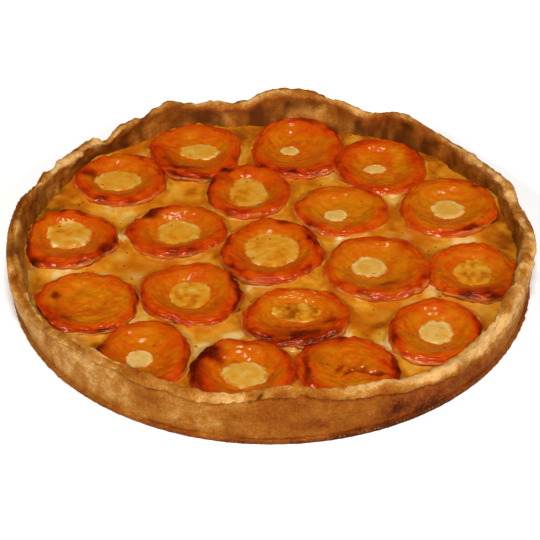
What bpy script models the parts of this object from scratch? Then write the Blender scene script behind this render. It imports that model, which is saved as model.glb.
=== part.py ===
"""Apricot tart: a hand-pressed shortcrust shell, a baked custard, and nineteen apricot halves with
their cut side up, most of them with a pool of custard in the hollow left by the stone.

The tart stands on z = 0 with its middle on the origin. Its front is -Y. Everything is in metres.
"""

import math
from collections import namedtuple

import bmesh
import bpy

MM = 0.001
FULL_TURN = 2 * math.pi

# Gaps between pieces that touch.
CLEARANCE = 0.35 * MM
WALL_CLEARANCE = 0.9 * MM

# Shortcrust shell. Radii are measured from the middle of the tart.
SHELL_SIDES = 100
FOOT_RADIUS = 131.0 * MM
FOOT_HEIGHT = 2.2 * MM
GROOVE_DEPTH = 1.3 * MM
WALL_RADIUS = 130.3 * MM
CREST_RADIUS = 126.8 * MM
RIM_HEIGHT = 27.2 * MM
RIM_HALF_THICKNESS = 2.5 * MM
SHOULDER_DROP = 4.2 * MM
FLOOR_THICKNESS = 4.5 * MM

# Rises and dips of the rim: where (degrees from +X), half width (degrees), height.
RIM_WAVES = (
    (170, 14, 2.4 * MM),
    (134, 5, -4.6 * MM),
    (116, 8, 3.8 * MM),
    (98, 7, -3.3 * MM),
    (84, 15, 4.6 * MM),
    (66, 7, -3.2 * MM),
    (54, 12, 2.6 * MM),
    (22, 10, 2.2 * MM),
    (11, 6, -3.6 * MM),
    (-44, 34, -8.2 * MM),
    (-87, 14, 4.8 * MM),
    (-104, 10, -1.5 * MM),
    (-127, 9, 1.3 * MM),
    (-156, 19, -6.0 * MM),
)
# Where the wall leans out over its foot: where, half width, reach.
BULGES = (
    (4, 34, 3.4 * MM),
    (-176, 46, 3.4 * MM),
)
# The crest follows the wall by this share of its lean.
CREST_SHARE = 0.7
# Where the rim slumped in the oven: it is low and broad, and its crest leans outwards.
SLUMP_ANGLE = -42
SLUMP_SPREAD = 34
SLUMP_DROP = 1.6 * MM
SLUMP_LEAN = 0.9 * MM
SLUMP_BREADTH = 2.6 * MM
# The fillet inside the back wall, where the dough was left thick.
FILLET_ANGLE = 84
FILLET_SPREAD = 62
FILLET_REACH = 8.0 * MM

# Baked custard.
CUSTARD_LEVEL = 13.5 * MM
CUSTARD_EDGE_RADIUS = 122.6 * MM
CUSTARD_FOOT_INSET = 7.0 * MM
MENISCUS_RISE = 0.9 * MM
MENISCUS_WIDTH = 3.0 * MM

# Apricot halves. Shares are of the fruit's own outline.
APRICOT_SIDES = 20
APRICOT_BOTTOM = 7.0 * MM
LIP_HEIGHT = 18.0 * MM
SKIN_PROFILE = ((0.50, 0.0), (0.86, 0.30), (1.0, 0.70), (0.965, 0.94))
LIP_SHARE = 0.89
HOLLOW_SHARES = (0.74, 0.54, 0.30)
HOLLOW_POWER = 2.2
SHARE_STEPS = 12
LIP_WOBBLE = 0.5 * MM
OUTLINE_WOBBLE = 0.03

RING_RADII = (0.0, 53.0 * MM, 100.0 * MM)
RING_COUNTS = (1, 6, 12)
RING_STARTS = (0, 43, -10)

# out, turn: how far the fruit lies from its even place, outwards and round the ring (degrees).
# width, depth: its size across X and Y. hollow: how deep the hollow is below the lip.
# right, back: where the hollow's middle lies from the fruit's. pool_width, pool_depth: its custard.
# fold, rise: the direction (degrees) of the side that stands up highest, and by how much.
Apricot = namedtuple(
    "Apricot", "out turn width depth hollow right back pool_width pool_depth fold rise"
)
LENGTHS = ("out", "width", "depth", "hollow", "right", "back", "pool_width", "pool_depth", "rise")
APRICOTS_IN_MM = (
    Apricot(1.5, -84, 50.5, 51.0, 4.8, 0.0, 3.0, 28, 28, -80, 0.9),
    Apricot(-3.5, 0, 46.5, 41.5, 3.4, -3.0, -2.5, 12, 10, 95, 0.6),
    Apricot(-0.5, 0, 45.0, 42.5, 4.8, 0.0, -1.0, 20, 28, 190, 0.9),
    Apricot(-2.2, -1, 49.5, 42.0, 4.6, 1.0, 1.0, 23, 21, -85, 0.8),
    Apricot(0.5, 0, 50.5, 46.5, 4.6, -1.0, 2.0, 21, 22, 15, 1.0),
    Apricot(3.8, -1, 53.0, 43.5, 4.0, 0.5, 6.0, 24, 15, -90, 1.5),
    Apricot(2.4, 1, 51.5, 51.0, 4.0, -4.5, 3.0, 17, 16, -70, 0.9),
    Apricot(2.5, -1, 48.0, 43.0, 4.2, 0.0, 2.5, 19, 21, -85, 1.1),
    Apricot(-1.3, 2, 50.5, 48.0, 4.2, 0.0, 0.5, 17, 16, -50, 1.2),
    Apricot(-6.0, 2, 49.0, 47.5, 4.0, -3.0, 0.0, 12, 8, 60, 1.0),
    Apricot(-8.0, 1, 51.5, 51.0, 3.6, -4.5, 0.0, 10, 8, 70, 1.2),
    Apricot(-3.5, 5, 47.0, 52.0, 4.0, 2.5, 2.5, 21, 14, -100, 1.2),
    Apricot(1.0, 2, 48.5, 45.0, 4.4, -0.5, 1.5, 25, 18, -80, 0.6),
    Apricot(2.5, 5, 47.5, 45.0, 4.6, -1.0, 5.5, 23, 21, -70, 0.8),
    Apricot(0.7, 6, 50.5, 46.0, 2.2, 2.0, 0.0, 0, 0, 200, 0.7),
    Apricot(2.5, 4, 45.0, 45.0, 3.8, -2.5, -2.0, 13, 13, 170, 0.6),
    Apricot(-2.3, 2, 49.5, 48.0, 4.4, 1.0, 0.5, 22, 20, 160, 1.0),
    Apricot(2.0, 1, 48.5, 46.0, 0.6, 0.0, 0.0, 0, 0, 60, 0.4),
    Apricot(3.0, 0, 47.0, 45.0, 4.2, 0.5, 1.5, 17, 18, 190, 0.9),
)
APRICOTS = tuple(
    row._replace(**{name: getattr(row, name) * MM for name in LENGTHS}) for row in APRICOTS_IN_MM
)

# Pools of custard in the hollows.
POOL_SIDES = 14
POOL_SINK = 0.6
POOL_TOP_SHARE = 0.93
POOL_THICKNESS = 0.45 * MM

SHORTCRUST = ("shortcrust", (0.42, 0.17, 0.045, 1.0), 0.75)
BAKED_CUSTARD = ("baked_custard", (0.66, 0.34, 0.055, 1.0), 0.30)
ROAST_APRICOT = ("roast_apricot", (0.58, 0.11, 0.015, 1.0), 0.25)


def clear_scene():
    """Removes every object, so that only the tart is left."""
    for thing in list(bpy.data.objects):
        bpy.data.objects.remove(thing, do_unlink=True)


def material(finish):
    """A Principled material from a (name, colour, roughness) finish."""
    name, colour, roughness = finish
    made = bpy.data.materials.new(name)
    made.use_nodes = True
    shader = made.node_tree.nodes["Principled BSDF"]
    shader.inputs["Base Color"].default_value = colour
    shader.inputs["Roughness"].default_value = roughness
    made.diffuse_color = colour
    return made


def hump(angle, middle, spread):
    """1 at the middle direction, falling smoothly to 0 at the spread on each side (degrees)."""
    away = (angle - middle + 180) % 360 - 180
    if abs(away) >= spread:
        return 0.0
    return 0.5 + 0.5 * math.cos(math.pi * away / spread)


def rim_height(angle):
    """Height of the shell's crest in this direction."""
    waves = sum(rise * hump(angle, middle, spread) for middle, spread, rise in RIM_WAVES)
    return RIM_HEIGHT + waves


def slump(angle):
    """How far the rim slumped in this direction, from 0 to 1."""
    return hump(angle, SLUMP_ANGLE, SLUMP_SPREAD)


def bulge(angle):
    """How far the wall leans out over its foot in this direction."""
    return sum(reach * hump(angle, middle, spread) for middle, spread, reach in BULGES)


def crest_radius(angle):
    """Distance of the crest from the middle of the tart."""
    ripple = 0.5 * MM * math.sin(math.radians(7 * angle + 20))
    return CREST_RADIUS + ripple + CREST_SHARE * bulge(angle) + SLUMP_LEAN * slump(angle)


def custard_edge(angle):
    """Radius of the shell's inner face at the custard's level."""
    return CUSTARD_EDGE_RADIUS - FILLET_REACH * hump(angle, FILLET_ANGLE, FILLET_SPREAD)


def inner_profile(angle):
    """(radius, height) down the shell's inner face, from under the crest to the floor."""
    edge = custard_edge(angle)
    top = rim_height(angle)
    inner_top = crest_radius(angle) - RIM_HALF_THICKNESS - SLUMP_BREADTH * slump(angle)
    return (
        (inner_top, top - 1.3 * MM),
        (0.35 * edge + 0.65 * inner_top, 0.45 * CUSTARD_LEVEL + 0.55 * top),
        (edge, CUSTARD_LEVEL),
        (edge - 0.3 * CUSTARD_FOOT_INSET, 0.6 * CUSTARD_LEVEL),
        (edge - CUSTARD_FOOT_INSET, FLOOR_THICKNESS),
    )


def inner_radius(angle, height):
    """Radius of the shell's inner face at a height, read along inner_profile."""
    points = inner_profile(angle)
    for (upper_radius, upper), (lower_radius, lower) in zip(points, points[1:]):
        if height >= lower:
            share = min((height - lower) / (upper - lower), 1.0)
            return lower_radius + share * (upper_radius - lower_radius)
    return points[-1][0]


def shell_profile(angle):
    """(radius, height) round the shell's section, from the underside to the floor inside."""
    top = rim_height(angle)
    crest = crest_radius(angle)
    shoulder = top - SHOULDER_DROP - SLUMP_DROP * slump(angle)
    lean = bulge(angle)
    shoulder_radius = WALL_RADIUS - 0.5 * MM + lean
    outside = (
        (FOOT_RADIUS - 1.2 * MM, 0.0),
        (FOOT_RADIUS, 0.7 * MM),
        (FOOT_RADIUS, FOOT_HEIGHT),
        (FOOT_RADIUS - GROOVE_DEPTH - 0.4 * MM, FOOT_HEIGHT + 0.7 * MM),
        (WALL_RADIUS - 0.3 * MM, FOOT_HEIGHT + 2.2 * MM),
        (WALL_RADIUS + 0.6 * lean, 0.62 * shoulder),
        (shoulder_radius, shoulder),
        (0.5 * shoulder_radius + 0.5 * crest, 0.3 * shoulder + 0.7 * top),
        (crest, top),
    )
    return outside + inner_profile(angle)


def ring_mesh(bm, rings):
    """Joins rings of vertices by quads, and closes the first and the last with a fan."""
    for lower, upper in zip(rings, rings[1:]):
        count = len(lower)
        for i in range(count):
            j = (i + 1) % count
            bm.faces.new((lower[i], lower[j], upper[j], upper[i]))
    for ring, order in ((rings[0], -1), (rings[-1], 1)):
        middle = bm.verts.new(sum((v.co for v in ring[1:]), ring[0].co.copy()) / len(ring))
        for i in range(len(ring)):
            pair = (ring[i], ring[(i + 1) % len(ring)])
            bm.faces.new((*pair[::order], middle))


def add_object(name, bm, look=None):
    """Makes an object of a bmesh, with its faces pointing out."""
    bmesh.ops.recalc_face_normals(bm, faces=bm.faces)
    mesh = bpy.data.meshes.new(name)
    bm.to_mesh(mesh)
    bm.free()
    if look:
        mesh.materials.append(look)
    mesh.shade_smooth()
    mesh.set_sharp_from_angle(angle=math.radians(50))
    thing = bpy.data.objects.new(name, mesh)
    bpy.context.scene.collection.objects.link(thing)
    return thing


def make_shell():
    """The pastry shell, one turned body whose section changes round the rim."""
    bm = bmesh.new()
    sections = [shell_profile(360 * i / SHELL_SIDES) for i in range(SHELL_SIDES)]
    rings = []
    for level in range(len(sections[0])):
        ring = []
        for i, section in enumerate(sections):
            radius, height = section[level]
            turn = FULL_TURN * i / SHELL_SIDES
            ring.append(bm.verts.new((radius * math.cos(turn), radius * math.sin(turn), height)))
        rings.append(ring)
    ring_mesh(bm, rings)
    return add_object("crust", bm, material(SHORTCRUST))


class Fruit:
    """One apricot half: where it lies, its outline, and the heights of its lip and hollow."""

    def __init__(self, number, ring, step):
        self.number = number
        self.size = APRICOTS[number]
        turn = math.radians(RING_STARTS[ring] + 360 / RING_COUNTS[ring] * step + self.size.turn)
        reach = RING_RADII[ring] + self.size.out
        self.x = reach * math.cos(turn)
        self.y = reach * math.sin(turn)
        self.radius = 0.25 * (self.size.width + self.size.depth)
        self.fences = []

    def meet(self, other):
        """Keeps this fruit on its own side of the line where it meets another."""
        dx, dy = other.x - self.x, other.y - self.y
        apart = math.hypot(dx, dy)
        if apart > 2.6 * max(self.radius, other.radius):
            return
        share = self.radius / (self.radius + other.radius)
        self.fences.append((math.atan2(dy, dx), share * apart - 0.5 * CLEARANCE))

    def outline(self, turn):
        """Distance of the outline from the fruit's middle in a direction (radians)."""
        across, along = 0.5 * self.size.width, 0.5 * self.size.depth
        reach = across * along / math.hypot(along * math.cos(turn), across * math.sin(turn))
        phase = 2.4 * self.number
        reach *= 1 + OUTLINE_WOBBLE * (math.sin(2 * turn + phase) + 0.6 * math.cos(3 * turn - phase))
        for direction, distance in self.fences:
            facing = math.cos(turn - direction)
            if facing > 0.05:
                reach = min(reach, distance / facing)
        return reach

    def lip(self, turn):
        """Height of the lip in a direction."""
        raised = self.size.rise * hump(math.degrees(turn), self.size.fold, 95)
        return LIP_HEIGHT + raised + LIP_WOBBLE * math.sin(2 * turn + 1.7 * self.number)

    def hollow_height(self, turn, share):
        """Height of the hollow's surface at a share of the outline: a bowl below the lip."""
        depth = 1 - (share / LIP_SHARE) ** HOLLOW_POWER
        return LIP_HEIGHT - depth * self.size.hollow + (1 - depth) * (self.lip(turn) - LIP_HEIGHT)

    def middle(self, share):
        """Middle of the section at a share of the outline: inside the lip it moves to the hollow's."""
        slide = max(0.0, 1 - share / LIP_SHARE)
        return self.x + slide * self.size.right, self.y + slide * self.size.back

    def surface_height(self, x, y):
        """Height of the hollow's facets above a point of the plan, inside the lip."""
        share = 0.0
        for _ in range(SHARE_STEPS):
            middle_x, middle_y = self.middle(share)
            turn = math.atan2(y - middle_y, x - middle_x)
            share = math.hypot(x - middle_x, y - middle_y) / self.outline(turn)
        shares = (0.0, *reversed(HOLLOW_SHARES), LIP_SHARE)
        for near, far in zip(shares, shares[1:]):
            if share <= far:
                low, high = self.hollow_height(turn, near), self.hollow_height(turn, far)
                return low + (high - low) * (share - near) / (far - near)
        return self.lip(turn)

    def point(self, turn, share, grow, height, wall_gap):
        """A point of the fruit, held inside the shell where a wall gap is given."""
        reach = share * self.outline(turn) + grow
        middle_x, middle_y = self.middle(share)
        x = middle_x + reach * math.cos(turn)
        y = middle_y + reach * math.sin(turn)
        if wall_gap is not None:
            most = inner_radius(math.degrees(math.atan2(y, x)), height) - wall_gap
            from_middle = math.hypot(x, y)
            if from_middle > most:
                x, y = x * most / from_middle, y * most / from_middle
        return (x, y, height)

    def rings(self, bm, profile, grow=0.0, wall_gap=WALL_CLEARANCE):
        """Rings of vertices at (share of the outline, height of the direction) pairs."""
        made = []
        for share, height in profile:
            ring = []
            for i in range(APRICOT_SIDES):
                turn = FULL_TURN * i / APRICOT_SIDES
                ring.append(bm.verts.new(self.point(turn, share, grow, height(turn), wall_gap)))
            made.append(ring)
        return made

    def skin_level(self, rise):
        """The height function of a level of the skin, from the bottom (0) to the lip (1)."""
        return lambda turn: APRICOT_BOTTOM + rise * (self.lip(turn) - APRICOT_BOTTOM)

    def make(self, look):
        """The fruit: its skin from the bottom up to the lip, and the hollow inside."""
        bm = bmesh.new()
        profile = [(share, self.skin_level(rise)) for share, rise in SKIN_PROFILE]
        profile.append((LIP_SHARE, self.lip))
        for share in HOLLOW_SHARES:
            profile.append((share, lambda turn, share=share: self.hollow_height(turn, share)))
        ring_mesh(bm, self.rings(bm, profile))
        bm.verts.ensure_lookup_table()
        bm.verts[-1].co = (*self.middle(0.0), LIP_HEIGHT - self.size.hollow)
        return add_object(f"apricot_{self.number + 1:02d}", bm, look)

    def make_pocket_cutter(self):
        """The space that the fruit takes in the custard, a little wider all round."""
        bm = bmesh.new()
        above = CUSTARD_LEVEL + 6 * MM
        profile = [(SKIN_PROFILE[0][0], lambda turn: APRICOT_BOTTOM - CLEARANCE)]
        profile += [(share, self.skin_level(rise)) for share, rise in SKIN_PROFILE[1:3]]
        profile.append((1.0, lambda turn: above))
        ring_mesh(bm, self.rings(bm, profile, grow=CLEARANCE, wall_gap=None))
        return add_object(f"pocket_{self.number + 1:02d}", bm)

    def make_pool(self, look):
        """The custard in the hollow: a thin lens that lies a clearance above the hollow."""
        across, along = 0.5 * self.size.pool_width, 0.5 * self.size.pool_depth
        middle_x, middle_y = self.middle(0.0)
        plan = []
        for i in range(POOL_SIDES):
            turn = FULL_TURN * i / POOL_SIDES
            plan.append((across * math.cos(turn), along * math.sin(turn)))

        def ring_at(share):
            """(x, y, height just above the hollow) round the pool at a share of its size."""
            places = [(middle_x + share * x, middle_y + share * y) for x, y in plan]
            return [(x, y, self.surface_height(x, y) + CLEARANCE) for x, y in places]

        shore = ring_at(1.0)
        top = max(height for _, _, height in shore) + POOL_THICKNESS
        upper = [(x, y, top) for x, y, _ in ring_at(POOL_TOP_SHARE)]
        bm = bmesh.new()
        ring_mesh(bm, [[bm.verts.new(p) for p in ring] for ring in (ring_at(POOL_SINK), shore, upper)])
        return add_object(f"custard_pool_{self.number + 1:02d}", bm, look)


def lay_out_fruits():
    """The apricots in their rings, each knowing the neighbours that it presses against."""
    fruits = []
    for ring, count in enumerate(RING_COUNTS):
        for step in range(count):
            fruits.append(Fruit(len(fruits), ring, step))
    for fruit in fruits:
        for other in fruits:
            if other is not fruit:
                fruit.meet(other)
    return fruits


def make_custard(fruits, look):
    """The custard: a disc that fills the shell to its level, with a pocket for each apricot."""
    bm = bmesh.new()
    side_levels = (
        (FLOOR_THICKNESS + CLEARANCE, 0.0, 0.0),
        (0.6 * CUSTARD_LEVEL, 0.0, 0.0),
        (CUSTARD_LEVEL, 0.0, MENISCUS_RISE),
        (CUSTARD_LEVEL, MENISCUS_WIDTH, 0.0),
    )
    rings = []
    for height, inset, rise in side_levels:
        ring = []
        for i in range(SHELL_SIDES):
            turn = FULL_TURN * i / SHELL_SIDES
            wall = inner_radius(math.degrees(turn), height)
            radius = wall - 1.4 * CLEARANCE - inset
            ring.append(bm.verts.new((radius * math.cos(turn), radius * math.sin(turn), height + rise)))
        rings.append(ring)
    ring_mesh(bm, rings)
    custard = add_object("custard", bm, look)
    pockets = bpy.data.collections.new("pockets")
    for fruit in fruits:
        pocket = fruit.make_pocket_cutter()
        bpy.context.scene.collection.objects.unlink(pocket)
        pockets.objects.link(pocket)
        pocket.hide_render = True
        pocket.display_type = "WIRE"
    bpy.context.scene.collection.children.link(pockets)
    cut = custard.modifiers.new("pockets", "BOOLEAN")
    cut.operation = "DIFFERENCE"
    cut.operand_type = "COLLECTION"
    cut.collection = pockets
    return custard


def main():
    """Builds the tart."""
    clear_scene()
    fruits = lay_out_fruits()
    custard_look = material(BAKED_CUSTARD)
    fruit_look = material(ROAST_APRICOT)
    make_shell()
    make_custard(fruits, custard_look)
    for fruit in fruits:
        fruit.make(fruit_look)
        if fruit.size.pool_width:
            fruit.make_pool(custard_look)


main()
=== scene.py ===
"""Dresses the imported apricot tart: shortcrust, baked custard and roasted fruit, in a small studio.

Tables of places are in millimetres, and directions in degrees from +X, seen from above. A table's
rows turn into metres where a piece is built. The tart's front is -Y.
"""

import logging
import math
from dataclasses import dataclass, field
from enum import Enum
from functools import partial
from typing import Any

import bpy
import numpy as np
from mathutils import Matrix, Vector
from mathutils.bvhtree import BVHTree


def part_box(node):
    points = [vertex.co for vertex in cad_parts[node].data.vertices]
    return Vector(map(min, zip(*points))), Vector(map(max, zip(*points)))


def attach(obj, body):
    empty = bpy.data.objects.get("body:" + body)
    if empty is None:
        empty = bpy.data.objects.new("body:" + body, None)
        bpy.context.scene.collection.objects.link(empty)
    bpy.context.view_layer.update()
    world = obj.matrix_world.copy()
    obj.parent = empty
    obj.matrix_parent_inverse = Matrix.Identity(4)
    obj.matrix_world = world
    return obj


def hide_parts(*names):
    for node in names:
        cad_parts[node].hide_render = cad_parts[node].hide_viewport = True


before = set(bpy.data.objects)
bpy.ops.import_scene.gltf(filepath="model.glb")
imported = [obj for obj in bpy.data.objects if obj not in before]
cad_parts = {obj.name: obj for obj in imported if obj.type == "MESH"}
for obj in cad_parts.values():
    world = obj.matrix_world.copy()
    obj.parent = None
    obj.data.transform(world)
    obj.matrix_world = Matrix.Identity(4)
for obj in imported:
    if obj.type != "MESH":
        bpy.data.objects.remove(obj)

Array = np.ndarray
Material = bpy.types.Material
Socket = bpy.types.NodeSocket
Thing = bpy.types.Object
Tree = bpy.types.NodeTree
Rows = tuple[tuple[float, ...], ...]
Stops = tuple[tuple[float, str], ...]
Stains = tuple[tuple[str, str, tuple[float, ...]], ...]

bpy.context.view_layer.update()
BODY = "root"
MM = 0.001
TAU = 2 * math.pi

log = logging.getLogger("tart")


# ---------------------------------------------------------------------------------------------
# Numbers: smooth steps, humps, splines and noise


def smooth(value: Array, low: float, high: float) -> Array:
    """Rises smoothly from 0 at low to 1 at high."""
    share = np.clip((value - low) / (high - low), 0.0, 1.0)
    return share * share * (3 - 2 * share)


def between(value: Array, start: float, full: float, fade: float, end: float) -> Array:
    """1 from full to fade, falling smoothly to 0 at start and at end."""
    return smooth(value, start, full) * (1 - smooth(value, fade, end))


def bell(value: Array, width: float) -> Array:
    """1 where the value is 0, and nearly 0 beyond twice the width."""
    return np.exp(-((value / width) ** 2))


def hump(angle: Array, middle: float, spread: float) -> Array:
    """1 at the middle direction, falling smoothly to 0 at the spread on each side (degrees)."""
    away = (angle - middle + 180) % 360 - 180
    return np.where(np.abs(away) < spread, 0.5 + 0.5 * np.cos(math.pi * away / spread), 0.0)


def humps(angle: Array, rows: Rows) -> Array:
    """The sum of humps in metres. A row is the middle, the spread (degrees) and the height (mm)."""
    return MM * sum(height * hump(angle, middle, spread) for middle, spread, height in rows)


def spline(controls: list[Array], steps: tuple[int, ...]) -> Array:
    """A Catmull-Rom curve through the controls.

    Args:
        controls: The control values, each a number or an array of one shape.
        steps: How many samples each span between two controls gets.

    Returns:
        The samples, first control to last, stacked along the first axis.
    """
    points = [controls[0], *controls, controls[-1]]
    samples = []
    for span, count in enumerate(steps):
        before, start, end, after = points[span:span + 4]
        for t in np.arange(count) / count:
            samples.append(
                start
                + 0.5 * t * (end - before)
                + t * t * (before - 2.5 * start + 2 * end - 0.5 * after)
                + t**3 * (1.5 * (start - end) + 0.5 * (after - before))
            )
    samples.append(points[-2] + 0.0 * points[0])
    return np.array(samples)


# The corners of a lattice cell, and the numbers that scramble a cell's place into a random number.
CUBE_CORNERS = np.array([(x, y, z) for x in (0, 1) for y in (0, 1) for z in (0, 1)])
AXIS_PRIMES = (73856093, 19349663, 83492791)
SEED_PRIME = 2654435761
MIXERS = ((15, 2246822519), (13, 3266489917))
LAST_SHIFT = 16
ALL_BITS = 0xFFFFFFFF

# Keeps the lattices of a relief's layers from meeting at the origin.
LAYER_OFFSET = 17.3


def lattice(cells: Array, seed: int) -> Array:
    """A fixed random number from -1 to 1 for each cell of a whole-number lattice."""
    x, y, z = (cells[..., axis] * prime for axis, prime in enumerate(AXIS_PRIMES))
    mixed = (x ^ y ^ z ^ (seed * SEED_PRIME)) & ALL_BITS
    for shift, prime in MIXERS:
        mixed = ((mixed ^ (mixed >> shift)) * prime) & ALL_BITS
    return (mixed ^ (mixed >> LAST_SHIFT)) / (ALL_BITS >> 1) - 1.0


def noise(points: Array, size: float, seed: int = 0, octaves: int = 1) -> Array:
    """Smooth random relief.

    Args:
        points: Places, with three lengths each along the last axis.
        size: Width of the widest bumps, in the places' own unit.
        seed: Which of many like reliefs.
        octaves: How many layers, each half as wide and half as high as the one before.

    Returns:
        About -1 to 1 for each place.
    """
    total = np.zeros(points.shape[:-1])
    for octave in range(octaves):
        scaled = points / size * 2**octave + LAYER_OFFSET * (octave + 1)
        cell = np.floor(scaled).astype(np.int64)
        part = scaled - cell
        fade = part**3 * (part * (part * 6 - 15) + 10)
        for corner in CUBE_CORNERS:
            share = np.prod(np.where(corner, fade, 1 - fade), axis=-1)
            total += 0.5**octave * share * lattice(cell + corner, seed + octave)
    return total


def layered(points: Array, layers: Rows, seed: int = 0) -> Array:
    """The sum of reliefs. A row is a height, a size (mm), a seed to add, and octaves if not 1."""
    return sum(row[0] * noise(points, row[1] * MM, seed + row[2], *row[3:]) for row in layers)


def places(x: Array, y: Array, z: Array | float = 0.0) -> Array:
    """Three arrays of lengths as one array of places."""
    return np.stack(np.broadcast_arrays(x, y, z), axis=-1).astype(float)


def around(radius: Array | float, turn: Array, height: Array | float = 0.0) -> Array:
    """The places at a distance from the middle in each direction (radians)."""
    return places(radius * np.cos(turn), radius * np.sin(turn), height)


def turns(count: int) -> Array:
    """Even directions all round (radians)."""
    return np.arange(count) / count * TAU


# ---------------------------------------------------------------------------------------------
# Marks that the oven left


class Tint(Enum):
    """What a mark does to the surface that it lies on."""

    CHAR = "char"
    BLUSH = "blush"
    GOLD = "gold"
    PALE = "pale"
    JUICE = "juice"


@dataclass(frozen=True)
class Mark:
    """A ragged patch on the filling, in millimetres."""

    tint: Tint
    x: float
    y: float
    long: float
    wide: float
    angle: float = 0.0
    strength: float = 1.0
    lift: float = 0.0

    def distance(self, x: Array, y: Array) -> Array:
        """How far places lie from the middle, where 1 is the patch's own edge."""
        turn = math.radians(self.angle)
        dx, dy = x - self.x, y - self.y
        along = dx * math.cos(turn) + dy * math.sin(turn)
        across = dy * math.cos(turn) - dx * math.sin(turn)
        return np.hypot(along / self.long, across / self.wide)


def marks_of(kind: type, table: dict[Tint, Rows]) -> tuple[Any, ...]:
    """One mark of a kind for each row of numbers, which fill the fields after its tint."""
    return tuple(kind(tint, *row) for tint, rows in table.items() for row in rows)


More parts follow.
